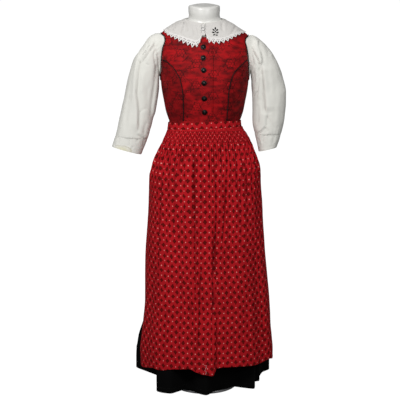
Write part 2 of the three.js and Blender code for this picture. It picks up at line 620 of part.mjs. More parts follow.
// sleeves
function sleeveRings(table, side, steps, fromArmhole) {
  const rings = [];
  if (fromArmhole) {
    // head: on the armhole, then passing out through the bodice
    for (const [off, grow] of [[ARMHOLE.off, 1], [10.5, 1.02]]) {
      const ring = [];
      for (let j = 0; j < steps; j++) {
        const w = j / steps * 2 * Math.PI;
        const deg = side * (ARMHOLE.at - ARMHOLE.half * grow * Math.sin(w)), lev = ARMHOLE.level + ARMHOLE.rise * Math.min(grow, 1) * Math.cos(w);
        ring.push(onFigure(deg, lev, off));
      }
      rings.push(ring);
    }
  }
  for (const [ox, oz, ix, iz, yc, dep] of table) {
    const ring = [];
    for (let j = 0; j < steps; j++) {
      const w = j / steps * 2 * Math.PI, c = Math.cos(w), s = Math.sin(w);
      const q = (Math.abs(c) ** 2.3 + Math.abs(s) ** 2.3) ** (-1 / 2.3);
      ring.push(V((ox + ix) / 2 + (ox - ix) / 2 * c * q, yc - dep * s * q, (oz + iz) / 2 + (oz - iz) / 2 * c * q));
    }
    rings.push(ring);
  }
  return side > 0 ? rings : rings.map((r) => r.slice().reverse());
}
{
  const steps = 16;
  for (const [tag, side, sleeve, cuff] of [['r', -1, SLEEVE_R, CUFF_R], ['l', 1, SLEEVE_L, CUFF_L]]) {
    add(`blouse_sleeve_${tag}`, shell([tubeShell(sleeveRings(sleeve, side, steps, true), SLEEVE_WALL)]), MAT.blouse);
    add(`blouse_cuff_${tag}`, shell([tubeShell(sleeveRings(cuff, side, steps, false), CUFF_WALL)]), MAT.blouse);
  }
}

// ---------------------------------------------------------------- bodice
{
  const L = LAYER;
  const lap = (deg) => L.lapLift * smooth(-13, -3.5, deg);
  add('bodice_front_r', shell([panelGrid(seamRows(FRONT_ROWS, 0.12), 6, 1, L.bodiceIn, L.bodiceOut, { lift: lap, gap1: 0, waist: true })]), MAT.brocade);
  add('bodice_front_l', shell([panelGrid(seamRows(FRONT_LEFT_ROWS, -0.12), 5, 1, L.bodiceIn, L.bodiceOut, { gap1: 0, flip: true, waist: true })]), MAT.brocade);
  add('bodice_side_r', shell([panelGrid(SIDE_FRONT_ROWS, 5, 1, L.bodiceIn, L.bodiceOut, { waist: true })]), MAT.brocade);
  add('bodice_side_l', shell([panelGrid(SIDE_FRONT_LEFT_ROWS, 5, 1, L.bodiceIn, L.bodiceOut, { flip: true, waist: true })]), MAT.brocade);
  const half = seamRows(BACK_ROWS, 0.12);
  add('bodice_back', shell([
    panelGrid(half, 8, 1, L.bodiceIn, L.bodiceOut, { gap1: 0, waist: true }),
    panelGrid(mirrorRows(half), 8, 1, L.bodiceIn, L.bodiceOut, { gap1: 0, flip: true, waist: true }),
  ]), MAT.brocade);
}
// piping: along the princess seams, and right round each armhole
function pipe(name, path, closed) {
  const pts = [], nrm = [];
  for (const [deg, lev] of path) { pts.push(onFigure(deg, lev, LAYER.bodiceOut + 2 * SEAM + PIPING_R)); nrm.push(figureNormal(deg, lev)); }
  add(name, cord(pts, nrm, PIPING_R, closed), MAT.piping);
}
{
  const seam = (rows) => {
    const path = [];
    for (let i = 0.4; i < 8.2; i += 0.5) { const r = tableRow(rows, i); path.push([r[0], r[1]]); }
    return path;
  };
  // they stop just short of the armhole cord
  const trim = (path, side) => path.concat([[side * 72.0, 10.66]]);
  pipe('princess_piping_r', trim(seam(FRONT_ROWS), -1), false);
  pipe('princess_piping_l', trim(seam(FRONT_LEFT_ROWS), 1), false);
  const arm = (front, side, back) => {
    const loop = [];
    for (let i = side.length - 5; i < side.length; i++) loop.push([side[i][0], side[i][1], 1]);
    for (let i = 10; i < front.length; i++) loop.push([front[i][0], front[i][1], 1]);
    for (let i = back.length - 2; i >= 5; i--) loop.push([back[i][0], back[i][1], 1]);
    return loop;
  };
  const sign = (rows, s) => rows.map((r) => [s * r[0], r[1]]);
  for (const [tag, s, fr, sd] of [['r', -1, FRONT_ROWS, SIDE_FRONT_ROWS], ['l', 1, FRONT_LEFT_ROWS, SIDE_FRONT_LEFT_ROWS]]) {
    const loop = arm(sign(fr, s), sign(sd, s), BACK_ROWS).map(([d, l]) => {
      // set in a little from the raw edge, onto the cloth
      const cd = d - 90, cl = l - 11.5;
      return [s * (90 + cd * 1.03), 11.5 + cl * 1.02];
    });
    if (s < 0) loop.reverse();
    pipe(`armhole_piping_${tag}`, loop, true);
  }
}
// buttons down the lap
BUTTONS.forEach(([z, deg], i) => {
  const h = BUTTON_D / 2;
  const profile = [[0, 0], [h * 0.9, 0], [h, 0.8], [h * 0.93, 1.8], [h * 0.66, 2.6], [h * 0.6, 3.4], [h * 0.3, 4.6], [0, 4.9]];
  const g = new THREE.LatheGeometry(profile.map(([x, y]) => new THREE.Vector2(x, y)), 14);
  const lev = levelAtHeight(deg, z), nn = figureNormal(deg, lev);
  const m = add(`button_${i + 1}`, g, MAT.button);
  m.quaternion.setFromUnitVectors(V(0, 1, 0), nn);
  m.position.copy(onFigure(deg, lev, LAYER.bodiceOut + LAYER.lapLift + 0.6));
});

// ---------------------------------------------------------------- skirt and apron
function outline(deg, right, left, front, back, n) {
  const s = Math.sin(deg * DEG), c = Math.cos(deg * DEG);
  const a = s < 0 ? right : left, d = c > 0 ? front : back;
  return (Math.abs(s / a) ** n + Math.abs(c / d) ** n) ** (-1 / n);
}
function apronRadius(deg, z) {
  const [, right, left, front] = tableAt(APRON_LINE, z), [, , , , back] = tableAt(SKIRT_LINE, z);
  let r = outline(deg, right, left, front, back, 2.25);
  for (const [hem, top, width, depth, hi, lo] of APRON_FOLDS) {
    const at = lerp(hem, top, clamp((z - 75) / 860, 0, 1));
    const fade = smooth(hi, hi - 260, z) * (lo > 75 ? smooth(lo - 120, lo + 60, z) : 1);
    r += depth * fade * Math.exp(-(((deg - at) / width) ** 2));
  }
  return r;
}
const wrap = (d) => ((d + 180) % 360 + 360) % 360 - 180;
function hemRadius(deg) {
  deg = wrap(deg);
  const closed = [...HEM_FOLDS, [180, HEM_FOLDS[0][1]]];
  return tableAt(closed, deg)[1];
}
function skirtRadius(deg, z) {
  deg = wrap(deg);
  const [, right, left, front, back] = tableAt(SKIRT_LINE, z);
  const plain = outline(deg, right, left, front, back, 2.2);
  const w = Math.min(1, FOLD_GAIN * clamp(1 - (z - HEM_Z) / FOLD_REACH, 0, 1) ** FOLD_POWER);
  const r = lerp(plain, hemRadius(deg), w);
  const [, er, el] = tableAt(APRON_EDGE, Math.min(z, 985)), over = Math.max(deg - el, er - deg) - 3;
  const room = apronRadius(deg, z) - APRON_CLEAR + Math.max(0, over) * 2.2;
  return Math.min(r, room);
}
const ringPoint = (deg, r, z) => V(r * Math.sin(deg * DEG), -r * Math.cos(deg * DEG), z);
{
  const heights = [17, 85, 190, 330, 530, 730, 840, 905, 945, 978, 1008];
  const angles = HEM_FOLDS.map((r) => r[0]);
  const rings = heights.map((z) => angles.map((d) => {
    return z > 1000 ? ringPoint(d, skirtRadius(d, waistZ(d)), waistZ(d) - 1.8) : ringPoint(d, skirtRadius(d, z), z);
  }));
  const inwards = (k, j, du, dv) => du.clone().cross(dv).normalize();
  add('skirt', shell([tubeShell(rings, SKIRT_WALL, inwards)]), MAT.skirt);
}
{
  // apron panel: gathered below the smocking, falling to its hem
  const cols = 30, rows = 9, out = [], inn = [];
  for (let r = 0; r <= rows; r++) {
    const ro = [], ri = [], t = [0, 0.08, 0.2, 0.35, 0.52, 0.69, 0.82, 0.9, 0.96, 1][r];
    for (let c = 0; c <= cols; c++) {
      const u = c / cols;
      let z = 0, deg = 0;
      const hemDeg = lerp(-84, 86, u), zHem = tableAt(APRON_HEM, hemDeg)[1];
      z = lerp(zHem, SMOCK_LOW_Z - 0.4, t);
      const [, er, el] = tableAt(APRON_EDGE, z);
      deg = lerp(er, el, u);
      const rr = apronRadius(deg, z);
      ro.push(ringPoint(deg, rr, z)); ri.push(ringPoint(deg, rr - APRON_WALL, z));
    }
    out.push(ro); inn.push(ri);
  }
  add('apron_panel', shell([{ out, inn }]), MAT.apron);
  // smocked band
  const so = [], si = [];
  for (let r = 0; r <= 2; r++) {
    const ro = [], ri = [];
    for (let c = 0; c <= 28; c++) {
      const [, er, el] = tableAt(APRON_EDGE, 960), deg = lerp(er, el, c / 28);
      const z = lerp(SMOCK_LOW_Z, waistZ(deg) - BAND_H - SEAM, r / 2), rr = apronRadius(deg, z) + 0.8;
      ro.push(ringPoint(deg, rr, z)); ri.push(ringPoint(deg, rr - SMOCK_WALL, z));
    }
    so.push(ro); si.push(ri);
  }
  add('apron_smocking', shell([{ out: so, inn: si }]), MAT.apron);
}
// waistband, ties and knot
function strip(name, d0, d1, cols, zLow, zHigh, offIn, offOut, flip, material) {
  const out = [], inn = [];
  for (const zf of [zLow, zHigh]) {
    const ro = [], ri = [];
    for (let c = 0; c <= cols; c++) {
      const deg = lerp(d0, d1, c / cols), z = zf(deg), lev = levelAtHeight(deg, z);
      ro.push(onFigure(deg, lev, offOut)); ri.push(onFigure(deg, lev, offIn));
    }
    out.push(ro); inn.push(ri);
  }
  add(name, shell([{ out, inn, flip }]), material);
}
{
  const L = LAYER;
  strip('apron_waistband', -112, 112, 26, (deg) => waistZ(deg) - BAND_H, (deg) => waistZ(deg), L.bandIn, L.bandOut, false, MAT.apron);
  const low = (deg) => waistZ(deg) - BAND_H + 1, high = (deg) => waistZ(deg) - 1.5;
  strip('apron_tie_r', -112.15, -174, 8, low, high, L.bandIn + 0.3, L.bandOut - 0.3, true, MAT.apron);
  strip('apron_tie_l', 112.15, 174, 8, low, high, L.bandIn + 0.3, L.bandOut - 0.3, false, MAT.apron);
  // knot: a plump rounded block at the centre back
  const rings = [], y0 = 90 + L.bandOut + 1.5;
  for (const [w, h, dy] of [[7.2, 12, 0], [11, 16, 3], [12, 17, 8], [10, 14.5, 13], [6, 9, 16]]) {
    const ring = [];
    for (let j = 0; j < 12; j++) { const q = j / 12 * 2 * Math.PI; ring.push(V(w * Math.cos(q), y0 + dy, 999 - h * Math.sin(q))); }
    rings.push(ring.reverse());
  }
  add('apron_knot', solidStack(rings.map((r) => r.slice().reverse())), MAT.apron);
  for (const [tag, s] of [['r', -1], ['l', 1]]) {
    const out = [], inn = [];
    for (let r = 0; r <= 7; r++) {
      const t = r / 7, z = lerp(570, 980, t), ro = [], ri = [];
      for (let c = 0; c <= 1; c++) {
        const deg = 180 - s * lerp(lerp(11.5, 3, t), lerp(1.8, 0.8, t), c);
        const rr = skirtRadius(deg, z) + 3.5 + 2.5 * Math.sin(t * 3.1) + (t > 0.9 ? 3 : 0);
        ro.push(ringPoint(deg, rr + 1.4, z)); ri.push(ringPoint(deg, rr, z));
      }
      out.push(ro); inn.push(ri);
    }
    add(`apron_tail_${tag}`, shell([{ out, inn, flip: s < 0 }]), MAT.apron);
  }
}

export default group;
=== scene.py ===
"""A dirndl on a limbless dress form: white blouse, dark red damask bodice, long black skirt, red printed apron.
Work is done in millimetres and written to the meshes in metres. Front is -Y, up is +Z, x = 0 at the pole."""
import bpy, bmesh, math
import numpy as np
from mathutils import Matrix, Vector
from mathutils.geometry import delaunay_2d_cdt


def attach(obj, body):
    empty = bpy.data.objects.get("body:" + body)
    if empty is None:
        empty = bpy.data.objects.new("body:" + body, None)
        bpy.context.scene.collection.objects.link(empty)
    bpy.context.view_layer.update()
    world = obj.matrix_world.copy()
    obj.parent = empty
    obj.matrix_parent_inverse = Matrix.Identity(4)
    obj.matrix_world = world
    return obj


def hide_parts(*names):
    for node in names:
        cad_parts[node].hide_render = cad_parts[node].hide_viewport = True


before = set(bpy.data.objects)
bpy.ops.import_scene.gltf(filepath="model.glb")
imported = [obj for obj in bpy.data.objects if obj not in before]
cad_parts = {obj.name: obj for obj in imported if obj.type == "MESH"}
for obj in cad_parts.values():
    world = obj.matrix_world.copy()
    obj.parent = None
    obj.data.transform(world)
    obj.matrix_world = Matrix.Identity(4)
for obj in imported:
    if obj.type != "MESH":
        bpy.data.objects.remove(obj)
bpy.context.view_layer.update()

DEG = math.pi / 180
FOCAL = 862.0                      # focal length in pixels of the 400 x 400 frame
CAM = (-17.0, -3200.0, 1172.0)     # where the camera stands
PITCH = 8.18                       # how far it looks down

# ------------------------------------------------------------------ camera
cam_data = bpy.data.cameras.new("camera")
cam_data.sensor_width = 36.0
cam_data.lens = FOCAL / 400 * 36
cam_data.clip_end = 60
cam = bpy.data.objects.new("camera", cam_data)
cam.location = [c / 1000 for c in CAM]
cam.rotation_euler = (math.radians(90 - PITCH), 0, 0)
bpy.context.scene.collection.objects.link(cam)
bpy.context.scene.camera = cam

# ------------------------------------------------------------------ driving sizes, as in the solid model
FORM_OFF, BLOUSE_IN, BLOUSE_OUT, BODICE_IN, BODICE_OUT, LAP_LIFT = -6.0, 1.0, 2.2, 5.0, 7.0, 3.2
COLLAR_IN, COLLAR_OUT, COLLAR_ROOT, BAND_IN, BAND_OUT = 10.6, 11.8, 3.8, 9.0, 11.0
SEAM, PIPING_R, BUTTON_D = 0.3, 1.6, 18.0
LACE_W, LACE_PITCH, LACE_TOOTH = 15.0, 17.5, 8.0
SKIRT_WALL, APRON_WALL, SLEEVE_WALL, CUFF_WALL, SMOCK_WALL = 1.6, 1.2, 1.2, 1.6, 3.0
APRON_CLEAR, HEM_Z, WAIST_Z, WAIST_TILT, BAND_H, SMOCK_LOW_Z = 5.0, 17.0, 1008.4, 5.0, 26.0, 935.0
SHOULDER_DROP, NECK_SHIFT, POLE_R, BASE_R, BASE_T = 8.0, 1.8, 14.0, 125.0, 10.0
ARM_AT, ARM_HALF, ARM_LEVEL, ARM_RISE, ARM_OFF = 90.0, 13.2, 11.5, 2.16, 3.0
COLLAR_NECK_LEVEL = 17.95
FOLD_REACH, FOLD_POWER, FOLD_GAIN = 783.0, 1.6, 1.15

# ------------------------------------------------------------------ tables, in mm and degrees
# Angles run round the body: 0 front, -90 the wearer's right (-X), +90 the wearer's left, 180 back.
FIGURE = np.array([
    # a,   f,    b,   zs,   zf,   zb,   n
    [150, 102, 120,  760,  760,  760, 2.2],
    [163, 109, 130,  830,  830,  830, 2.2],
    [147, 104, 120,  900,  900,  900, 2.2],
    [132,  96, 102,  955,  955,  955, 2.15],
    [124,  92,  90, 1005, 1005, 1005, 2.15],
    [129,  95,  90, 1024, 1024, 1024, 2.15],
    [136.5, 101, 92, 1048, 1048, 1048, 2.2],
    [143.5, 109, 96, 1085, 1085, 1085, 2.3],
    [150, 114, 101, 1120, 1120, 1120, 2.4],
    [154, 115.5, 106, 1160, 1160, 1160, 2.5],
    [154.5, 112, 110, 1205, 1202, 1205, 2.5],
    [154.5, 105, 111, 1245, 1238, 1248, 2.5],
    [155.5, 95, 108, 1282, 1271, 1290, 2.5],
    [156.5, 82, 101, 1308, 1300, 1322, 2.45],
    [150.5, 74.5, 91, 1325, 1316, 1343, 2.4],
    [134, 69.5, 81, 1336, 1328, 1358, 2.3],
    [112, 65.5, 72, 1349.5, 1339, 1371, 2.2],
    [90, 62.5, 64, 1363.5, 1349, 1383, 2.1],
    [72, 60, 58, 1376, 1358, 1393, 2.05],
    [61.5, 57.5, 54.5, 1389, 1368, 1402, 2],
    [57.8, 56, 53, 1403, 1386, 1414, 2],
    [57.3, 55.5, 53, 1420, 1407, 1432, 2],
], float)
FRONT_ROWS = np.array([
    # outer, level, inner, level      (wearer's right front; inner edge laps past the centre)
    [-44.0, 4.06, 17.0, 4.06],
    [-41.5, 5.2, 16.2, 5.2],
    [-38.0, 6.5, 15.0, 6.5],
    [-36.0, 7.8, 14.4, 7.8],
    [-39.0, 9.0, 14.0, 9.0],
    [-43.0, 9.4, 14.2, 9.6],
    [-49.0, 9.9, 14.5, 10.2],
    [-57.0, 10.3, 15.0, 10.8],
    [-65.0, 10.55, 15.6, 11.3],
    [-75.0, 10.7, 16.4, 11.8],
    [-73.0, 11.5, 17.6, 12.3],
    [-69.5, 12.3, 19.0, 12.8],
    [-70.5, 12.85, 20.0, 13.25],
    [-73.5, 13.3, -8.0, 13.25],
    [-79.0, 13.6, -38.0, 13.7],
    [-85.0, 13.8, -62.0, 14.8],
    [-88.6, 13.86, -76.0, 15.7],
    [-91.0, 13.88, -88.0, 16.4],
], float)
FRONT_LEFT_ROWS = np.array([
    # outer, level, inner, level      (wearer's left front; inner edge runs under the lap)
    [46.5, 4.06, -1.0, 4.06],
    [43.5, 5.2, -1.0, 5.2],
    [41.0, 6.5, -1.0, 6.5],
    [39.0, 7.9, -1.0, 7.9],
    [42.0, 9.0, -1.0, 9.1],
    [46.0, 9.5, -1.0, 9.7],
    [53.0, 9.9, -1.0, 10.3],
    [62.0, 10.3, -1.0, 10.9],
    [69.0, 10.55, -1.0, 11.4],
    [75.5, 10.7, -1.0, 11.9],
    [73.0, 11.5, -1.0, 12.3],
    [71.0, 12.3, -1.0, 12.8],
    [72.0, 12.85, -1.0, 13.2],
    [75.0, 13.3, 10.0, 13.2],
    [80.0, 13.6, 38.0, 13.7],
    [85.5, 13.8, 62.0, 14.8],
    [88.6, 13.86, 76.0, 15.7],
    [91.0, 13.88, 88.0, 16.4],
], float)
SIDE_FRONT_ROWS = np.array([
    # side,  level, princess, level   (wearer's right)
    [-96.0, 4.06, -44.0, 4.06],
    [-96.0, 5.2, -41.5, 5.2],
    [-95.5, 6.5, -38.0, 6.5],
    [-95.0, 7.7, -36.0, 7.8],
    [-93.5, 8.7, -39.0, 9.0],
    [-92.0, 9.05, -43.0, 9.4],
    [-85.0, 9.15, -49.0, 9.9],
    [-79.5, 9.45, -57.0, 10.3],
    [-76.8, 9.95, -65.0, 10.55],
    [-75.7, 10.55, -74.4, 10.68],
], float)
SIDE_FRONT_LEFT_ROWS = np.array([
    [96.0, 4.06, 46.5, 4.06],
    [96.0, 5.2, 43.5, 5.2],
    [95.5, 6.5, 41.0, 6.5],
    [95.0, 7.7, 39.0, 7.9],
    [93.5, 8.7, 42.0, 9.0],
    [92.0, 9.05, 46.0, 9.5],
    [86.0, 9.15, 53.0, 9.9],
    [80.5, 9.45, 62.0, 10.3],
    [77.6, 9.95, 69.0, 10.55],
    [76.3, 10.55, 75.0, 10.68],
], float)
BACK_ROWS = np.array([
    # side, level, centre back then neckline, level   (one half, mirrored about the centre back)
    [96.0, 4.06, 180, 4.06],
    [96.0, 5.2, 180, 5.2],
    [95.5, 6.5, 180, 6.5],
    [95.0, 7.7, 180, 7.7],
    [93.5, 8.7, 180, 8.9],
    [92.0, 9.05, 180, 9.8],
    [100.5, 9.5, 180, 10.7],
    [107.5, 10.7, 180, 11.6],
    [108.2, 12.0, 180, 12.6],
    [102.5, 13.1, 180, 13.6],
    [97.0, 13.6, 180, 14.45],
    [93.6, 13.82, 145, 14.75],
    [92.2, 13.86, 116, 15.4],
    [91.0, 13.88, 88.0, 16.4],
], float)
BLOUSE_ROWS = np.array([
    # side then armhole, level, centre front then neck seam, level   (one half)
    [90.0, 6.9, 0, 6.9],
    [90.0, 9.3, 0, 9.4],
    [80.5, 9.7, 0, 11.2],
    [77.4, 11.2, 0, 13.2],
    [78.8, 12.5, 0, 15.4],
    [84.5, 13.4, 0, 18.0],
    [88.0, 13.6, 45, 18.0],
    [90.0, 13.63, 90, 18.0],
], float)
BLOUSE_BACK_ROWS = np.array([
    # side then armhole, level, centre back then neck seam, level   (one half)
    [90.0, 6.9, 180, 6.9],
    [90.0, 9.3, 180, 9.4],
    [99.5, 9.7, 180, 11.2],
    [102.6, 11.2, 180, 13.2],
    [101.2, 12.5, 180, 15.4],
    [95.5, 13.4, 180, 18.0],
    [92.0, 13.6, 135, 18.0],
    [90.0, 13.63, 90, 18.0],
], float)
COLLAR_LINES = np.array([
    # neck, outer, level
    [-1.2, -2.2, 15.6],
    [-3.0, -4.6, 14.3],
    [-6.5, -9.0, 12.9],
    [-10, -12.0, 12.2],
    [-15, -16.5, 11.85],
    [-22, -23.0, 11.8],
    [-32, -31.0, 11.95],
    [-44, -42.0, 12.2],
    [-58, -54.0, 12.6],
    [-74, -66.0, 13.2],
    [-88, -79.0, 14.15],
    [-98, -92.0, 14.42],
    [-110, -108.0, 14.2],
    [-126, -128.0, 13.7],
    [-144, -148.0, 13.4],
    [-165, -166.0, 13.3],
    [-180, -180.0, 13.3],
    [-195, -194.0, 13.3],
    [-216, -212.0, 13.4],
    [-234, -232.0, 13.7],
    [-250, -252.0, 14.2],
    [-262, -268.0, 14.42],
    [-272, -282.0, 14.2],
    [-286, -295.0, 13.7],
    [-302, -306.0, 13.0],
    [-316, -318.0, 12.45],
    [-330, -330.0, 12.25],
    [-340, -340.0, 12.25],
    [-347, -348.5, 12.3],
    [-352, -353.5, 12.6],
    [-355, -356.0, 13.1],
    [-357, -357.3, 14.2],
    [-358.8, -357.9, 15.6],
], float)
SLEEVE_R = np.array([
    # ox,   oz,   ix,   iz,  yc, dep
    [-176, 1327, -167, 1187, 4, 51],
    [-198, 1317, -168.5, 1172, 3, 58],
    [-221, 1289, -169, 1155, 2, 62],
    [-246, 1252, -168.5, 1135, 0, 62],
    [-266, 1212, -170, 1115, -2, 60],
    [-281, 1160, -174.5, 1085, -4, 57],
    [-292, 1110, -181.5, 1053, -7, 55],
    [-303, 1063, -189, 1024, -10, 53],
    [-316, 1008, -197.5, 988, -15, 51],
    [-328.5, 955.5, -209.5, 947.5, -19, 49],
], float)
CUFF_R = np.array([
    [-329.0, 953.5, -210, 945.5, -19, 48],
    [-336, 933, -219, 921, -21, 47.5],
    [-341, 916, -234, 887, -24, 46.5],
], float)
SLEEVE_L = np.array([
    # ox,   oz,   ix,   iz,  yc, dep
    [174, 1319, 168, 1185, 4, 51],
    [197, 1308, 171, 1170, 3, 59],
    [223, 1285, 173.5, 1153, 2, 63],
    [249, 1252, 174, 1133, 0, 63],
    [271, 1211, 175, 1110, -2, 61],
    [288, 1162, 175.5, 1082, -4, 59],
    [298.5, 1118, 175.5, 1057, -7, 57],
    [298, 1070, 175.5, 1031, -10, 55],
    [292, 1010, 177, 995, -15, 52],
    [281, 965, 184, 964, -19, 49],
], float)
CUFF_L = np.array([
    [280.5, 962.8, 184.3, 961.8, -19, 48],
    [275, 940, 192, 933, -21, 47],
    [265, 914, 200, 898, -23, 45],
], float)
SKIRT_LINE = np.array([
    # z,  right, left, front, back
    [1014, 130.5, 130.5, 98, 96],
    [1005, 130.5, 130.5, 98.5, 96.5],
    [978, 130, 133, 100.5, 101],
    [950, 143, 152, 106, 112],
    [930, 150, 163, 110, 122],
    [900, 161, 174, 119, 138],
    [863, 180, 192, 129, 150],
    [833, 191, 203, 137, 158],
    [806, 201, 206, 143, 164],
    [712, 206, 215, 154, 174],
    [521, 220, 230, 168, 187],
    [327, 228, 248, 180, 195],
    [149, 240, 256, 190, 200],
    [17, 245, 258, 195, 205],
], float)
APRON_LINE = np.array([
    # z,  right, left, front
    [985, 134.5, 139, 105],
    [978, 135.5, 142, 105.5],
    [955, 144, 158, 109],
    [930, 156, 171, 114],
    [900, 167, 180, 123],
    [863, 184, 196, 133],
    [833, 194, 205, 140],
    [806, 202.5, 207, 146],
    [712, 206, 215, 156],
    [521, 219, 230, 170],
    [327, 228, 249, 182],
    [229, 238, 255, 188],
    [149, 247, 263, 193],
    [75, 245, 263, 195],
], float)
HEM_FOLDS = np.array([
    # angle, radius
    [-180, 205], [-170, 222], [-160, 198], [-151, 224], [-143, 205], [-134, 232], [-126, 240],
    [-117, 307], [-108, 238], [-99, 186], [-90, 170], [-78, 176], [-68, 188], [-58, 206],
    [-50, 232], [-43, 251], [-37, 214], [-31, 142], [-25, 134], [-18, 142], [-10, 162], [-4, 175],
    [2, 183], [8, 166], [13.5, 145], [20, 136], [28, 132], [36, 134], [44, 140], [50, 147],
    [54, 182], [57.5, 219], [63, 212], [70, 194], [76.5, 189], [81.5, 213], [88, 210], [94.5, 215],
    [101, 226], [107, 243], [112, 278], [118, 266], [125, 230], [132, 240], [140, 212], [148, 226],
    [157, 200], [166, 220], [174, 204],
], float)
APRON_FOLDS = np.array([
    # atHem, atTop, width, out, top,  low
    [-16, -17, 3.2, -7, 880, 300],
    [-9.5, -10.5, 5.0, 5, 860, 75],
    [13.5, 12.5, 3.0, -9, 760, 75],
    [7.5, 8.0, 4.6, 9, 700, 75],
    [-3, -1, 5.0, 5, 360, 75],
    [30, 26, 4.5, -5, 905, 420],
    [38, 34, 6.0, 3, 905, 300],
    [61, 58, 6.0, -9, 640, 75],
    [72, 68, 7.0, 4, 640, 75],
    [-33, -34, 5.5, -5, 800, 75],
    [-47, -46, 7.0, 4, 800, 75],
    [-66, -64, 6.0, -6, 620, 75],
], float)
APRON_HEM = np.array([
    # angle, z
    [-84, 80], [-75, 84], [-64, 94], [-55, 104], [-47, 103], [-38, 109], [-27, 115], [-16, 119],
    [-10, 111], [-5, 104], [0.6, 99], [7.4, 97], [11, 101], [13.6, 119], [20, 125], [30, 124],
    [39.5, 122], [50, 119], [60, 117], [69, 124], [78, 114], [86, 108],
], float)
APRON_EDGE = np.array([
    # z, right edge, left edge (deg)
    [985, -112, 112], [930, -110, 110], [900, -105, 105], [806, -97, 97], [521, -92, 93], [327, -88, 90],
    [149, -84.5, 86.5], [75, -84, 86],
], float)
BUTTONS = np.array([
    # z, angle
    [1270, -3.2], [1233, -2.8], [1191, -2.0], [1147.5, -1.4], [1094.5, -1.0], [1046.5, -0.2],
], float)

# ------------------------------------------------------------------ small helpers
def clamp(x, a, b):
    return np.minimum(b, np.maximum(a, x))


def lerp(a, b, t):
    return a + (b - a) * t


def smooth(a, b, x):
    t = clamp((np.asarray(x, float) - a) / (b - a), 0, 1)
    return t * t * (3 - 2 * t)


def unit(v):
    return v / np.maximum(np.linalg.norm(v, axis=-1, keepdims=True), 1e-12)


def table_row(rows, v):
    """A smooth curve through a table's rows, without overshoot."""
    rows = np.asarray(rows, float)
    last = len(rows) - 1
    v = clamp(np.asarray(v, float), 0, last)
    i = np.minimum(np.floor(v).astype(int), last - 1)
    t = (v - i)[..., None]
    p0, p1, p2, p3 = rows[np.maximum(i - 1, 0)], rows[i], rows[i + 1], rows[np.minimum(i + 2, last)]
    d = p2 - p1

    def lim(m):
        return np.where(m * d <= 0, 0, np.where(np.abs(m) > 3 * np.abs(d), 3 * d, m))

    h00, h10 = 2 * t**3 - 3 * t**2 + 1, t**3 - 2 * t**2 + t
    h01, h11 = 3 * t**2 - 2 * t**3, t**3 - t**2
    return h00 * p1 + h10 * lim((p2 - p0) / 2) + h01 * p2 + h11 * lim((p3 - p1) / 2)


def table_at(rows, x):
    """The same for a table whose first column is a height or an angle."""
    rows = np.asarray(rows, float)
    x = np.asarray(x, float)
    keys = rows[:, 0]
    down = keys[0] > keys[-1]
    k = -keys if down else keys
    i = np.clip(np.searchsorted(k, -x if down else x, side="left") - 1, 0, len(rows) - 2)
    t = clamp((x - keys[i]) / (keys[i + 1] - keys[i]), 0, 1)
    return table_row(rows, i + t)


def hash01(ix, iy, iz, seed):
    """Repeatable numbers from 0 to 1 for lattice points."""
    h = (ix * 374761393 + iy * 668265263 + iz * 2147483647 + seed * 1274126177) & 0xFFFFFFFF
    h = ((h ^ (h >> 13)) * 1274126177) & 0xFFFFFFFF
    h = ((h ^ (h >> 16)) * 2246822519) & 0xFFFFFFFF
    return ((h ^ (h >> 15)) & 0xFFFFFF) / float(0xFFFFFF)


def noise(p, size, seed=1):
    """Smooth noise from -1 to 1 with features of the given size (a number, or one for each axis)."""
    q = np.asarray(p, float) / np.asarray(size, float)
    b = np.floor(q).astype(np.int64)
    f = q - b
    f = f * f * (3 - 2 * f)
    out = np.zeros(q.shape[:-1])
    for dx in (0, 1):
        for dy in (0, 1):
            for dz in (0, 1):
                w = (f[..., 0] if dx else 1 - f[..., 0]) * (f[..., 1] if dy else 1 - f[..., 1]) * (f[..., 2] if dz else 1 - f[..., 2])
                out += w * hash01(b[..., 0] + dx, b[..., 1] + dy, b[..., 2] + dz, seed)
    return out * 2 - 1


def noise1(x, size, seed=1):
    x = np.asarray(x, float)
    p = np.stack([x, np.zeros_like(x), np.zeros_like(x)], -1)
    return noise(p, size, seed)


# ------------------------------------------------------------------ the figure's surface
def figure(deg, lev):
    deg, lev = np.broadcast_arrays(np.asarray(deg, float), np.asarray(lev, float))
    q = table_row(FIGURE, lev)
    a, f, b, zs, zf, zb, n = [q[..., k] for k in range(7)]
    s, c = np.sin(deg * DEG), np.cos(deg * DEG)
    d = np.where(c > 0, f, b)
    r = (np.abs(s / a) ** n + np.abs(c / d) ** n) ** (-1 / n)
    z = zs + (zf - zs) * np.maximum(c, 0) ** 1.5 + (zb - zs) * np.maximum(-c, 0) ** 1.5
    drop = SHOULDER_DROP * np.maximum(s, 0) * smooth(10.5, 13.5, lev) * (1 - smooth(15.5, 19, lev))
    return np.stack([r * s - NECK_SHIFT * smooth(17.5, 20, lev), -r * c, z - drop], -1)


def figure_normal(deg, lev):
    deg, lev = np.broadcast_arrays(np.asarray(deg, float), np.asarray(lev, float))
    v0, v1 = np.maximum(lev - 0.05, 0), np.minimum(lev + 0.05, len(FIGURE) - 1)
    du = figure(deg + 0.5, lev) - figure(deg - 0.5, lev)
    dv = figure(deg, v1) - figure(deg, v0)
    return unit(np.cross(du, dv))


def on_figure(deg, lev, off):
    off = np.asarray(off, float)
    return figure(deg, lev) + figure_normal(deg, lev) * (off[..., None] if off.ndim else off)


def level_at_height(deg, z):
    deg, z = np.broadcast_arrays(np.asarray(deg, float), np.asarray(z, float))
    lo, hi = np.zeros(deg.shape), np.full(deg.shape, len(FIGURE) - 1.0)
    for _ in range(32):
        m = (lo + hi) / 2
        below = figure(deg, m)[..., 2] < z
        lo, hi = np.where(below, m, lo), np.where(below, hi, m)
    return (lo + hi) / 2


def waist_z(deg):
    return WAIST_Z + WAIST_TILT * np.sin(np.asarray(deg, float) * DEG)


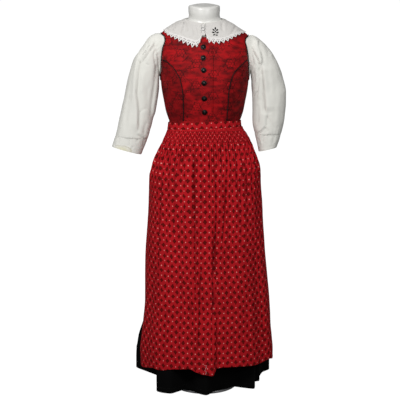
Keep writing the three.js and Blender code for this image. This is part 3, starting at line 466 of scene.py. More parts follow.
# distance run round the chest from the centre front, for the lie of the cloth
_RD = np.arange(-200, 201, 1.0)
_RP = figure(_RD, np.full(_RD.shape, 7.5))
_RS = np.concatenate([[0], np.cumsum(np.linalg.norm(np.diff(_RP, axis=0), axis=1))])
_RS -= np.interp(0, _RD, _RS)


def run_of(deg):
    return np.interp(deg, _RD, _RS)


# ------------------------------------------------------------------ the picture's own frame, to place folds
def to_frame(p):
    """Where a point (mm) shows in the 400 x 400 frame."""
    x, y, z = p[..., 0], p[..., 1], p[..., 2]
    t = math.radians(PITCH)
    depth = (y - CAM[1]) * math.cos(t) - (z - CAM[2]) * math.sin(t)
    up = (z - CAM[2]) * math.cos(t) + (y - CAM[1]) * math.sin(t)
    return 200 + FOCAL * (x - CAM[0]) / depth, 200 - FOCAL * up / depth


def along(px, py, line):
    """Distance (px, signed to the right of the line's run) and share of the way along a drawn line, for each point."""
    line = np.asarray(line, float)
    seg = np.linalg.norm(np.diff(line, axis=0), axis=1)
    run = np.concatenate([[0], np.cumsum(seg)])
    best = np.full(px.shape, 1e9)
    side = np.zeros(px.shape)
    share = np.zeros(px.shape)
    for k in range(len(line) - 1):
        a, b = line[k], line[k + 1]
        d = (b - a) / seg[k]
        t = clamp((px - a[0]) * d[0] + (py - a[1]) * d[1], 0, seg[k])
        qx, qy = a[0] + d[0] * t, a[1] + d[1] * t
        dist = np.hypot(px - qx, py - qy)
        near = dist < best
        best = np.where(near, dist, best)
        side = np.where(near, np.sign((px - a[0]) * d[1] - (py - a[1]) * d[0]), side)
        share = np.where(near, (run[k] + t) / run[-1], share)
    return best, side, share


def crease(px, py, line, width, depth, lip=0.45, ends=0.18):
    """Height (mm) of a soft crease drawn along a line: a trough with a low ridge on one side; negative depth makes a ridge."""
    dist, side, share = along(px, py, line)
    s = dist * side
    taper = smooth(0, ends, share) * (1 - smooth(1 - ends, 1, share))
    return taper * depth * (-np.exp(-(s / width) ** 2) + lip * np.exp(-((s - 1.9 * width) / (1.1 * width)) ** 2))


def fold_over(px, py, line, depth, high, sharp=0.5, reach=6.5, ends=0.14):
    """Height (mm) of a fold whose one side lies over the other; high is -1 or 1 for the side (left or right of the line's run) that stands up."""
    dist, side, share = along(px, py, line)
    s = dist * side * high
    taper = smooth(0, ends, share) * (1 - smooth(1 - ends, 1, share))
    up = 0.5 * (1 + np.tanh(s / sharp))
    return taper * depth * (up * np.exp(-(s / reach) ** 2) - 0.55 * (1 - up) * np.exp(-(s / (0.6 * reach)) ** 2))


# ------------------------------------------------------------------ meshes
def normals_of(P, closed=False):
    """Normals of a grid of points, pointing to the side from which columns run left to right and rows run up."""
    if closed:
        du = np.roll(P, -1, 1) - np.roll(P, 1, 1)
    else:
        du = np.gradient(P, axis=1)
    dv = np.gradient(P, axis=0)
    return unit(np.cross(du, dv))


def make_object(name, verts, faces, mats, smooth_shade=True, uvs=None, face_mats=None, sharp=None):
    """verts in mm; uvs one pair for each corner, in metres."""
    me = bpy.data.meshes.new(name)
    me.from_pydata((np.asarray(verts) / 1000).tolist(), [], [list(f) for f in faces])
    if uvs is not None:
        layer = me.uv_layers.new(name="cloth")
        layer.uv.foreach_set("vector", np.asarray(uvs, np.float32).ravel())
    for m in mats if isinstance(mats, (list, tuple)) else [mats]:
        me.materials.append(m)
    if face_mats is not None:
        me.polygons.foreach_set("material_index", np.asarray(face_mats, np.int32))
    if smooth_shade:
        me.polygons.foreach_set("use_smooth", np.ones(len(me.polygons), bool))
    me.update()
    # the depth found below is what the cloth materials use to paint shade into the folds
    if len(verts) > 2500:                               # how deep each point lies below the cloth about it, in mm
        V = np.asarray(verts, float)
        own = []
        for size in (3, 4):
            q = np.array([f for f in faces if len(f) == size], int).reshape(-1, size)
            if len(q):
                own.append((q, np.cross(V[q[:, 2]] - V[q[:, 0]], V[q[:, -1]] - V[q[:, 1]])))
        N = np.zeros(V.shape)
        pairs = []
        for q, fn in own:
            for k in range(q.shape[1]):
                for a in range(3):
                    N[:, a] += np.bincount(q[:, k], fn[:, a], len(V))
                pairs.append(np.stack([q[:, k], q[:, (k + 1) % q.shape[1]]], 1))
        pairs = np.concatenate(pairs)
        count = np.bincount(pairs[:, 0], minlength=len(V)) + np.bincount(pairs[:, 1], minlength=len(V))
        Q = V.copy()
        for _ in range(7):
            S = np.stack([np.bincount(pairs[:, 0], Q[pairs[:, 1], a], len(V)) + np.bincount(pairs[:, 1], Q[pairs[:, 0], a], len(V)) for a in range(3)], 1)
            Q = 0.4 * Q + 0.6 * S / np.maximum(count, 1)[:, None]
        deep = ((Q - V) * unit(N)).sum(1)
        me.attributes.new("depth_in_folds", "FLOAT", "POINT").data.foreach_set("value", np.maximum(deep, 0).astype(np.float32))
    if sharp is not None:
        me.set_sharp_from_angle(angle=math.radians(sharp))
    ob = bpy.data.objects.new(name, me)
    bpy.context.scene.collection.objects.link(ob)
    return ob


def grid_sheet(name, out, inn, uv, mats, closed=False, flip=False, sharp=40, skip=None):
    """One closed thin body of cloth from grids of outer and inner points (rows x columns x 3).
    closed: the columns run right round. uv: rows x (columns, one more when closed) x 2, in mm. skip(r, c) leaves cells out."""
    R, C = out.shape[:2]
    n = R * C
    verts = np.concatenate([out.reshape(-1, 3), inn.reshape(-1, 3)])
    cols = C if closed else C - 1
    r, c = np.meshgrid(np.arange(R - 1), np.arange(cols), indexing="ij")
    r, c = r.ravel(), c.ravel()
    if skip is not None:
        keep = ~skip(r, c)
        r, c = r[keep], c[keep]
    c1 = (c + 1) % C
    a, b, d, e = r * C + c, r * C + c1, (r + 1) * C + c1, (r + 1) * C + c
    UC = uv.shape[1]
    U = uv.reshape(-1, 2) / 1000
    ua, ub, ud, ue = r * UC + c, r * UC + c + 1, (r + 1) * UC + c + 1, (r + 1) * UC + c
    quads = np.stack([a, b, d, e], 1)
    uq = np.stack([ua, ub, ud, ue], 1)
    if flip:
        quads, uq = quads[:, ::-1], uq[:, ::-1]
    back = quads[:, ::-1] + n
    ubk = uq[:, ::-1]
    # free edges: those used once
    ed = {}
    for k in range(4):
        for p, q, up, uq2 in zip(quads[:, k].tolist(), quads[:, (k + 1) % 4].tolist(), uq[:, k].tolist(), uq[:, (k + 1) % 4].tolist()):
            if (q, p) in ed:
                del ed[(q, p)]
            else:
                ed[(p, q)] = (up, uq2)
    rim = np.array([(q, p, p + n, q + n) for p, q in ed], int).reshape(-1, 4)
    urim = np.array([(v[1], v[0], v[0], v[1]) for v in ed.values()], int).reshape(-1, 4)
    faces = np.concatenate([quads, back, rim])
    ucorner = U[np.concatenate([uq, ubk, urim]).ravel()]
    fm = np.concatenate([np.zeros(len(quads)), np.ones(len(back)), np.zeros(len(rim))]).astype(int)
    ml = mats if isinstance(mats, (list, tuple)) else [mats]
    if len(ml) < 2:
        fm[:] = 0
    return make_object(name, verts, faces.tolist(), ml, True, ucorner, fm, sharp)


def tube_along(points, normals, radius, closed=False, sides=8, uscale=1.0):
    """Vertices, faces and corner UVs (mm) of a round cord along points."""
    P = np.asarray(points, float)
    n = len(P)
    if closed:
        t = unit(np.roll(P, -1, 0) - np.roll(P, 1, 0))
    else:
        t = unit(np.gradient(P, axis=0))
    N = np.asarray(normals, float)
    N = unit(N - (N * t).sum(-1, keepdims=True) * t)
    B = np.cross(t, N)
    w = np.arange(sides) / sides * 2 * math.pi
    rad = np.broadcast_to(np.asarray(radius, float), (n,))
    ring = P[:, None] + (N[:, None] * np.cos(w)[None, :, None] + B[:, None] * np.sin(w)[None, :, None]) * rad[:, None, None]
    verts = ring.reshape(-1, 3)
    run = np.concatenate([[0], np.cumsum(np.linalg.norm(np.diff(P, axis=0), axis=1))])
    faces, uvs = [], []
    segs = n if closed else n - 1
    step = 2 * math.pi * float(rad.mean()) / sides
    for i in range(segs):
        j = (i + 1) % n
        u0, u1 = run[i], run[i + 1] if i + 1 < n else run[i] + np.linalg.norm(P[0] - P[-1])
        for k in range(sides):
            k2 = (k + 1) % sides
            faces.append((i * sides + k, i * sides + k2, j * sides + k2, j * sides + k))
            uvs += [(u0, k * step), (u0, (k + 1) * step), (u1, (k + 1) * step), (u1, k * step)]
    if not closed:
        faces.append(tuple(range(sides))[::-1])
        faces.append(tuple((n - 1) * sides + k for k in range(sides)))
        uvs += [(0, 0)] * sides + [(run[-1], 0)] * sides
    return verts, faces, uvs


class Gather:
    """Collects many small closed pieces into one mesh."""

    def __init__(self):
        self.v, self.f, self.u, self.n = [], [], [], 0

    def add(self, verts, faces, uvs=None):
        self.v.append(np.asarray(verts, float))
        self.f += [tuple(i + self.n for i in f) for f in faces]
        k = sum(len(f) for f in faces)
        self.u += list(uvs) if uvs is not None else [(0, 0)] * k
        self.n += len(verts)

    def make(self, name, mats, sharp=50):
        return make_object(name, np.concatenate(self.v), self.f, mats, True, np.asarray(self.u, float) / 1000, None, sharp)


def resample(P, step, extra=None):
    """Points every step mm along a polyline; extra arrays are carried along."""
    P = np.asarray(P, float)
    run = np.concatenate([[0], np.cumsum(np.linalg.norm(np.diff(P, axis=0), axis=1))])
    n = max(2, int(round(run[-1] / step)) + 1)
    s = np.linspace(0, run[-1], n)
    res = [np.stack([np.interp(s, run, P[:, k]) for k in range(P.shape[1])], 1)]
    for e in extra or []:
        e = np.asarray(e, float)
        res.append(np.stack([np.interp(s, run, e[:, k]) for k in range(e.shape[1])], 1))
    return res if extra else res[0]


def stitches(bag, P, N, stitch=2.6, gap=0.9, radius=0.28, sink=0.12):
    """A row of sewing stitches on a line of surface points P with normals N."""
    Q, M = resample(P, stitch + gap, [N])
    M = unit(M)
    share = stitch / (stitch + gap)
    lift = np.array([-sink, radius * 1.1, -sink])[:, None]
    for i in range(len(Q) - 1):
        q = Q[i] + (Q[i + 1] - Q[i]) * share * np.array([0, 0.5, 1.0])[:, None]
        m = np.repeat(M[i][None], 3, 0)
        v, f, u = tube_along(q + m * lift, m, radius, False, 4)
        bag.add(v, f, u)


# ------------------------------------------------------------------ panels on the figure
def mirror_rows(rows):
    return np.asarray(rows) * np.array([-1, 1, -1, 1])


def seam_rows(rows, by):
    rows = np.array(rows, float)
    rows[-1, 0] += by
    rows[-1, 2] += by
    return rows


def panel_params(rows, cols, sub, gap0=SEAM / 2, gap1=SEAM / 2, waist=False, ease=None):
    """Angle and level of each point of a fine grid between two seams."""
    rows = np.asarray(rows, float)
    n = (len(rows) - 1) * sub
    v = np.arange(n + 1) / sub
    q = table_row(rows, v)
    A, B = figure(q[:, 0], q[:, 1]), figure(q[:, 2], q[:, 3])
    length = np.maximum(np.linalg.norm(A - B, axis=1), 1e-6)
    t = np.arange(cols + 1) / cols
    if ease is not None:
        t = ease(t)
    s = lerp((gap0 / length)[:, None], (1 - gap1 / length)[:, None], t[None, :])
    deg = lerp(q[:, 0:1], q[:, 2:3], s)
    lev = lerp(q[:, 1:2], q[:, 3:4], s)
    if waist:
        low = level_at_height(deg[0], waist_z(deg[0]) + SEAM)
        lev = lev + (low - lev[0])[None, :] * clamp(1 - v, 0, 1)[:, None]
    return deg, lev


def cloth_uv(deg, lev, P):
    """Lie of the cloth on the chest: round the body, and up it."""
    return np.stack([run_of(deg), P[..., 2]], -1)


# ------------------------------------------------------------------ materials
class E:
    """A value in a node tree, with arithmetic."""

    def __init__(self, t, sock):
        self.t, self.s = t, sock

    def _m(self, op, *others, clamp_it=False):
        n = self.t.nodes.new("ShaderNodeMath")
        n.operation = op
        n.use_clamp = clamp_it
        for i, o in enumerate((self, *others)):
            if isinstance(o, E):
                self.t.links.new(o.s, n.inputs[i])
            else:
                n.inputs[i].default_value = float(o)
        return E(self.t, n.outputs[0])

    def __add__(self, o): return self._m("ADD", o)
    __radd__ = __add__
    def __sub__(self, o): return self._m("SUBTRACT", o)
    def __rsub__(self, o): return (self * -1.0) + o
    def __mul__(self, o): return self._m("MULTIPLY", o)
    __rmul__ = __mul__
    def __truediv__(self, o): return self._m("DIVIDE", o)
    def __neg__(self): return self * -1.0
    def abs(self): return self._m("ABSOLUTE")
    def floor(self): return self._m("FLOOR")
    def fract(self): return self._m("FRACT")
    def mod(self, o): return self._m("FLOORED_MODULO", o)
    def sin(self): return self._m("SINE")
    def cos(self): return self._m("COSINE")
    def sqrt(self): return self._m("SQRT")
    def pow(self, o): return self._m("POWER", o)
    def atan2(self, o): return self._m("ARCTAN2", o)
    def max(self, o): return self._m("MAXIMUM", o)
    def min(self, o): return self._m("MINIMUM", o)
    def clamp(self): return self._m("ADD", 0.0, clamp_it=True)

    def step(self, a, b):
        """0 at a, 1 at b, smooth between (a may be above b)."""
        n = self.t.nodes.new("ShaderNodeMapRange")
        n.interpolation_type = "SMOOTHSTEP"
        lo, hi = (a, b) if a < b else (b, a)
        n.inputs["From Min"].default_value, n.inputs["From Max"].default_value = lo, hi
        n.inputs["To Min"].default_value, n.inputs["To Max"].default_value = (0, 1) if a < b else (1, 0)
        self.t.links.new(self.s, n.inputs["Value"])
        return E(self.t, n.outputs[0])


class Mat:
    """A node material on the cloth's own lie (UV map, metres) or on the object's place."""

    def __init__(self, name, **fixed):
        self.m = bpy.data.materials.new(name)
        self.m.use_nodes = True
        self.t = self.m.node_tree
        self.b = self.t.nodes["Principled BSDF"]
        for k, v in fixed.items():
            self.b.inputs[k.replace("_", " ")].default_value = v
        uv = self.t.nodes.new("ShaderNodeTexCoord")
        sep = self.t.nodes.new("ShaderNodeSeparateXYZ")
        self.t.links.new(uv.outputs["UV"], sep.inputs[0])
        self.uvs = uv.outputs["UV"]
        self.obj = uv.outputs["Object"]
        self.u, self.v = E(self.t, sep.outputs[0]), E(self.t, sep.outputs[1])
        sp = self.t.nodes.new("ShaderNodeSeparateXYZ")
        self.t.links.new(self.obj, sp.inputs[0])
        self.x, self.y, self.z = (E(self.t, sp.outputs[k]) for k in range(3))

    def vec(self, x, y, z=0.0):
        n = self.t.nodes.new("ShaderNodeCombineXYZ")
        for i, o in enumerate((x, y, z)):
            if isinstance(o, E):
                self.t.links.new(o.s, n.inputs[i])
            else:
                n.inputs[i].default_value = float(o)
        return n.outputs[0]

    def noise(self, scale, detail=3.0, rough=0.55, at=None, stretch=None):
        """Noise from 0 to 1; scale is features for each metre."""
        n = self.t.nodes.new("ShaderNodeTexNoise")
        n.inputs["Scale"].default_value = scale
        n.inputs["Detail"].default_value = detail
        n.inputs["Roughness"].default_value = rough
        src = at if at is not None else self.obj
        if stretch is not None:
            mp = self.t.nodes.new("ShaderNodeMapping")
            mp.inputs["Scale"].default_value = stretch
            self.t.links.new(src, mp.inputs["Vector"])
            src = mp.outputs[0]
        self.t.links.new(src, n.inputs["Vector"])
        return E(self.t, n.outputs["Fac"])

    def mix(self, fac, a, b):
        """Colours or values; fac from 0 (a) to 1 (b)."""
        n = self.t.nodes.new("ShaderNodeMix")
        n.data_type = "RGBA"
        self.t.links.new(fac.s, n.inputs[0])
        for i, c in ((6, a), (7, b)):
            if isinstance(c, tuple):
                n.inputs[i].default_value = (*c, 1)
            else:
                self.t.links.new(c, n.inputs[i])
        return n.outputs[2]

    def color(self, sock):
        self.t.links.new(sock, self.b.inputs["Base Color"])

    def rough(self, e):
        self.t.links.new(e.s, self.b.inputs["Roughness"])

    def bump(self, height, distance=0.001, strength=1.0):
        n = self.t.nodes.new("ShaderNodeBump")
        n.inputs["Strength"].default_value = strength
        n.inputs["Distance"].default_value = distance
        self.t.links.new(height.s, n.inputs["Height"])
        self.t.links.new(n.outputs[0], self.b.inputs["Normal"])

    def painted_fold_shade(self, lo, hi):
        """1 in the folds' depths, 0 on open cloth: a mask for painting shade into the folds; lo and hi in mm."""
        n = self.t.nodes.new("ShaderNodeAttribute")
        n.attribute_name = "depth_in_folds"
        return E(self.t, n.outputs["Fac"]).step(lo, hi)

    def weave(self, pitch=0.0007):
        """Plain weave: 0 in the gaps, 1 on the threads."""
        a = (self.u * (math.pi / pitch)).sin()
        b = (self.v * (math.pi / pitch)).sin()
        return (a * a).max(b * b)

    def tone(self, e, lo, hi):
        """0..1 to a factor between lo and hi."""
        return e * (hi - lo) + lo

    def scaled(self, colour, factor):
        """A colour times a factor, cloth-like."""
        return self.mix(factor, tuple(0.0 for _ in colour), colour)


def srgb(r, g, b):
    def f(c):
        c /= 255
        return c / 12.92 if c <= 0.04045 else ((c + 0.055) / 1.055) ** 2.4
    return (f(r), f(g), f(b))


# --- white cotton of the blouse
def cotton_material(name, base, stain=None, embroidery=False):
    k = Mat(name, Specular_IOR_Level=0.15)
    slub = k.noise(900, 2.0, 0.6, at=k.uvs, stretch=(1.0, 0.12, 1.0))
    slub2 = k.noise(900, 2.0, 0.6, at=k.uvs, stretch=(0.12, 1.0, 1.0))
    big = k.noise(9, 3.0, 0.55)
    tone = k.tone(big, 0.93, 1.04) * k.tone(slub, 0.975, 1.02)
    col = k.mix((tone * 1.0 - 0.9) * 6.0, tuple(c * 0.93 for c in base), tuple(min(1, c * 1.03) for c in base))
    if stain is not None:
        su, sv, ru, rv = stain
        du, dv = (k.u - su) / ru, (k.v - sv) / rv
        d = (du * du + dv * dv).sqrt() + (k.noise(38, 4.0, 0.6) - 0.5) * 1.1
        col = k.mix(d.step(1.15, 0.25) * 0.78, col, (base[0] * 0.93, base[1] * 0.90, base[2] * 0.70))
        col = k.mix((d - 1.02).abs().step(0.16, 0.03) * 0.50, col, (base[0] * 0.60, base[1] * 0.55, base[2] * 0.36))
    # painted shade: the cloth goes grey where it lies deep in its folds
    col = k.mix(k.painted_fold_shade(0.05, 1.25) * 0.5, col, srgb(158, 154, 147))
    k.color(col)
    k.rough(k.tone(slub2, 0.78, 0.92))
    k.bump(k.weave(0.00075) * 0.35 + slub * 0.4 + slub2 * 0.4 + k.noise(160, 3.0) * 0.5, 0.0004, 0.55)
    return k.m


# --- dark red damask: a generic scattered leaf and blossom ground, tone on tone, on the lie of the cloth
def damask_material(name, painted_shade=1.0):
    k = Mat(name, Specular_IOR_Level=0.12)
    W, H = 0.058, 0.076
    wob = (k.noise(30, 3.0, at=k.uvs) - 0.5) * 0.012
    wob2 = (k.noise(34, 3.0, at=k.uvs, stretch=(1.3, 0.8, 1.0)) - 0.5) * 0.012

    def cell(du, dv, w=W, h=H):
        """Coordinates about the middle of the nearest half-drop cell."""
        U = (k.u + wob - du) / w
        col = U.floor()
        V_ = (k.v + wob2 - dv) / h + (col.mod(2.0)) * 0.5
        return (U.fract() - 0.5) * w, (V_.fract() - 0.5) * h

    def flower(x, y, size, petals, turn=0.0):
        """Filled shape, and its drawn lines."""
        r = (x * x + y * y).sqrt() / size
        a = y.atan2(x) + turn
        lobes = ((a * (petals / 2)).cos().abs()) * 0.36 + 0.64
        body = (r / lobes).step(1.0, 0.9)
        line = (r / lobes - 1.0).abs().step(0.17, 0.06).max((r - 0.30).abs().step(0.09, 0.03)).max(((a * (petals / 2)).cos().abs()).step(0.22, 0.10) * body * r.step(0.3, 0.4))
        return body, line

    def leaf(x, y, cx, cy, ang, length, wide):
        ca, sa = math.cos(ang), math.sin(ang)
        X = ((x - cx) * ca + (y - cy) * sa) / length
        Y = ((y - cy) * ca - (x - cx) * sa) / wide
        edge = (X * X * -1.0 + 1.0).max(0.0)
        q = Y.abs() / (edge + 0.02)
        inside = X.abs().step(1.0, 0.93)
        body = q.step(1.0, 0.85) * inside
        line = ((q - 1.0).abs().step(0.26, 0.10)).max(Y.abs().step(0.20, 0.08)) * X.abs().step(1.05, 0.95)
        return body, line

    x, y = cell(0, 0)
    x2, y2 = cell(W * 0.5, H * 0.27)
    fill, line = flower(x, y, 0.0150, 6)
    for q in (leaf(x, y, 0.0185, 0.0125, 0.75, 0.0100, 0.0042), leaf(x, y, -0.0190, 0.0110, 2.3, 0.0100, 0.0042), leaf(x, y, 0.0160, -0.0200, -0.9, 0.0110, 0.0044),
              leaf(x, y, -0.0150, -0.0215, -2.2, 0.0110, 0.0044), leaf(x, y, 0.002, 0.027, 1.4, 0.0085, 0.0034), flower(x2, y2, 0.0085, 5, 0.5),
              flower(x2 - 0.0105, y2 + 0.0095, 0.0048, 5, 0.2), flower(x2 + 0.0115, y2 + 0.0075, 0.0042, 5, 0.9)):
        fill, line = fill.max(q[0]), line.max(q[1])
    stem = ((x2 - (y2 * (2 * math.pi / H)).sin() * 0.013)).abs().step(0.0013, 0.0006)
    line = line.max(stem * 0.9)
    # weft floats catch the light in short flat streaks; the figure sinks and rises between light and dark grounds
    streak = k.noise(46, 2.0, 0.5, at=k.uvs, stretch=(0.7, 1.7, 1.0))
    patch = k.noise(27, 3.0, 0.55, at=k.uvs, stretch=(0.8, 1.2, 1.0)).step(0.36, 0.62)
    broad = k.noise(9, 2.0, 0.5, at=k.uvs)
    ribs = (k.v * (math.pi / 0.0006)).sin()
    f = (patch * 0.36 + streak.step(0.3, 0.7) * 0.42 + fill * 0.14 + (broad - 0.5) * 0.5 + 0.10 - line * k.tone(patch, 0.34, 0.60) + ribs * 0.02).clamp()
    # painted shade: the colour goes nearly black where the cloth lies deep in its folds, and the factor passed in
    # darkens the whole copy as painted shade
    k.color(k.mix(k.painted_fold_shade(0.03, 0.5) * 0.7, k.mix(f, tuple(c * painted_shade for c in srgb(70, 6, 8)), tuple(c * painted_shade for c in srgb(182, 18, 24))), srgb(34, 4, 6)))
    k.rough(k.tone(streak, 0.62, 0.82))
    k.bump(fill * 0.4 - line * 0.5 + ribs * 0.12 + k.noise(700, 2.0, at=k.uvs) * 0.35, 0.0004, 0.5)
    return k.m


# --- the apron's small print: dark four-petalled figures and pale dots, set like a chequerboard
PRINT = 0.0184


def print_material(name, step=PRINT, strength=1.0, fade=None, valley=(0.10, 1.5)):
    k = Mat(name, Specular_IOR_Level=0.06)
    wu = (k.noise(30, 3.0, at=k.uvs) - 0.5) * 0.62
    wv = (k.noise(30, 3.0, at=k.uvs, stretch=(1.2, 0.9, 1.0)) - 0.5) * 0.58
    U, V_ = k.u / step + wu, k.v / step + wv
    odd = (U.floor() + V_.floor()).mod(2.0)
    x, y = U.fract() - 0.5, V_.fract() - 0.5
    r2 = x * x + y * y
    r = r2.sqrt()
    c2 = ((x * x - y * y) / (r2 + 1e-5)).abs()
    edge = c2.pow(0.8) * 0.15 + 0.285
    ink = k.noise(1500, 2.0, 0.6, at=k.uvs)
    vary = k.noise(44, 2.0, 0.5, at=k.uvs)
    rr = r + (ink - 0.5) * 0.05
    petal = (rr / (edge * k.tone(vary, 0.80, 1.24))).step(1.14, 0.86) * odd
    eye = rr.step(0.135, 0.10) * odd
    gap = c2.step(0.26, 0.04) * r.step(0.10, 0.20) * odd * 0.72
    dot = rr.step(0.140, 0.085) * (1.0 - odd) * k.tone(vary, 1.3, 0.4)
    if fade is not None:                                # the print is lost in the folds of a gathered strip
        keep = k.v.step(*fade) * 0.75 + 0.25
        petal, eye, dot = petal * keep, eye * keep, dot * keep
    sprig = ((r - 0.30).abs().step(0.035, 0.015)) * (1.0 - odd) * ((y.atan2(x) * 4.0).cos()).step(0.75, 0.95) * 0.55
    broad = k.noise(14, 3.0, 0.6)
    thread = k.noise(1100, 2.0, 0.6, at=k.uvs, stretch=(1.0, 0.15, 1.0))
    base = k.mix((broad * 0.8 + thread * 0.25 - 0.02).clamp(), srgb(152, 18, 25), srgb(196, 29, 37))
    col = k.mix((sprig).clamp(), base, srgb(118, 20, 22))
    col = k.mix((petal - gap).max(0.0) * k.tone(ink, 0.76 * strength, 1.0 * strength), col, srgb(72, 5, 5))
    col = k.mix(eye * (0.5 * strength), col, srgb(84, 40, 12))
    col = k.mix(dot * k.tone(ink, 0.75 * strength, 0.95 * strength), col, srgb(246, 166, 156))
    # painted shade: the colour goes dark where the cloth lies deep in its folds, between the gathers and in the
    # smocking
    col = k.mix(k.painted_fold_shade(*valley) * 0.48, col, srgb(58, 4, 7))
    k.color(col)
    k.rough(k.tone(thread, 0.74, 0.9))
    k.bump(k.weave(0.0008) * 0.3 + thread * 0.4 + k.noise(140, 3.0) * 0.5, 0.0004, 0.5)
    return k.m


def black_wool(name):
    k = Mat(name, Specular_IOR_Level=0.05)
    twill = ((k.u + k.v) * (math.pi / 0.0011)).sin()
    fuzz = k.noise(800, 3.0, 0.7, at=k.uvs)
    broad = k.noise(12, 3.0)
    k.color(k.mix((fuzz * 0.5 + broad * 0.5).clamp(), (0.0010, 0.0010, 0.0011), (0.0036, 0.0036, 0.0036)))
    k.rough(k.tone(fuzz, 0.78, 0.96))
    k.bump(twill * 0.3 + fuzz * 0.8, 0.0004, 0.5)
    return k.m


def lining(name, base, spread=0.10):
    k = Mat(name, Specular_IOR_Level=0.2)
    n1 = k.noise(500, 2.0, at=k.uvs, stretch=(1.0, 0.2, 1.0))
    k.color(k.mix(n1, tuple(c * (1 - spread) for c in base), tuple(min(1.0, c * (1 + spread)) for c in base)))
    k.rough(k.tone(n1, 0.8, 0.92))
    k.bump(k.weave(0.0008) * 0.4 + n1, 0.0003, 0.5)
    return k.m


def satin_cord(name):
    k = Mat(name, Specular_IOR_Level=0.10)
    twist = ((k.u * 1.0 + k.v * 0.8) * (math.pi / 0.0009)).sin()
    n1 = k.noise(600, 2.0)
    k.color(k.mix(n1, (0.004, 0.0035, 0.004), (0.017, 0.014, 0.014)))
    k.rough(k.tone(n1, 0.62, 0.85))
    k.bump(twist * 0.4 + n1 * 0.4, 0.0003, 0.4)
    return k.m


def metal(name, dark, light, metallic, lo, hi, scale=300, wear=None, bump=0.25):
    k = Mat(name, Metallic=metallic)
    n1 = k.noise(scale, 4.0, 0.6)
    n2 = k.noise(scale * 0.2, 3.0, 0.5)
    k.color(k.mix((n1 * 0.7 + n2 * 0.5 - 0.1).clamp(), dark, light))
    k.rough(k.tone(n1, lo, hi))
    k.bump(n1, 0.0002, bump)
    return k.m


def form_gloss(name):
    """White moulded shell under a clear gloss coat."""
    k = Mat(name, Specular_IOR_Level=0.5, Coat_Weight=0.45, Coat_Roughness=0.30)
    n1 = k.noise(22, 3.0, 0.5)
    n2 = k.noise(420, 2.0, 0.5)
    k.color(k.mix((n1 * 0.8 + n2 * 0.2).clamp(), srgb(206, 205, 200), srgb(226, 225, 221)))
    k.rough(k.tone(n2, 0.34, 0.46))
    k.bump(n1 * 0.8 + n2 * 0.05, 0.0006, 0.12)
    return k.m


WHITE = srgb(225, 224, 217)
M_COTTON = cotton_material("cotton_white", WHITE)
# the collar's cotton is the blouse's white made darker: painted shade on the collar, neck binding and tab
M_COLLAR_SHADED = cotton_material("cotton_collar_painted_shade", srgb(207, 204, 200))
M_LACE = cotton_material("lace_cotton", srgb(222, 219, 216))
M_COTTON_IN = lining("cotton_inside", tuple(c * 0.93 for c in WHITE), 0.03)
M_DAMASK = damask_material("damask_red")
# a darker copy of the same damask for the side panels: painted shade where the body turns away from the light
M_DAMASK_SHADED_SIDE = damask_material("damask_red_painted_shade_side", 0.66)
M_DAMASK_IN = lining("bodice_lining", srgb(92, 18, 20))
M_PRINT = print_material("apron_print_cotton")
M_PRINT_SMOCK = print_material("apron_print_smocked", strength=0.75, fade=(0.076, 0.060), valley=(0.10, 0.9))
M_PRINT_IN = lining("apron_wrong_side", srgb(128, 26, 32))
M_WOOL = black_wool("skirt_wool")
M_WOOL_IN = lining("skirt_lining", (0.006, 0.006, 0.0065), 0.3)
M_PIPING = satin_cord("piping_satin")
M_BUTTON = metal("button_pewter", (0.003, 0.0026, 0.0026), (0.018, 0.016, 0.0155), 0.85, 0.28, 0.46, 420)
M_BUTTON_HI = metal("button_boss", (0.02, 0.019, 0.018), (0.10, 0.096, 0.092), 0.9, 0.24, 0.40, 420)
M_STUD = metal("stud_ring", (0.22, 0.22, 0.23), (0.42, 0.42, 0.42), 0.35, 0.28, 0.4, 300)
M_STAND = metal("stand_brushed", (0.30, 0.30, 0.31), (0.46, 0.46, 0.47), 0.9, 0.3, 0.46, 120)
M_THREAD_W = lining("thread_white", srgb(222, 219, 216), 0.05)
M_THREAD_R = lining("thread_red", srgb(96, 12, 16), 0.15)
M_THREAD_G = lining("thread_grey", srgb(112, 109, 106), 0.1)
M_THREAD_K = lining("thread_black", (0.012, 0.012, 0.013), 0.3)
M_THREAD_P = lining("thread_pale", srgb(206, 160, 160), 0.08)
M_FORM = form_gloss("form_shell")


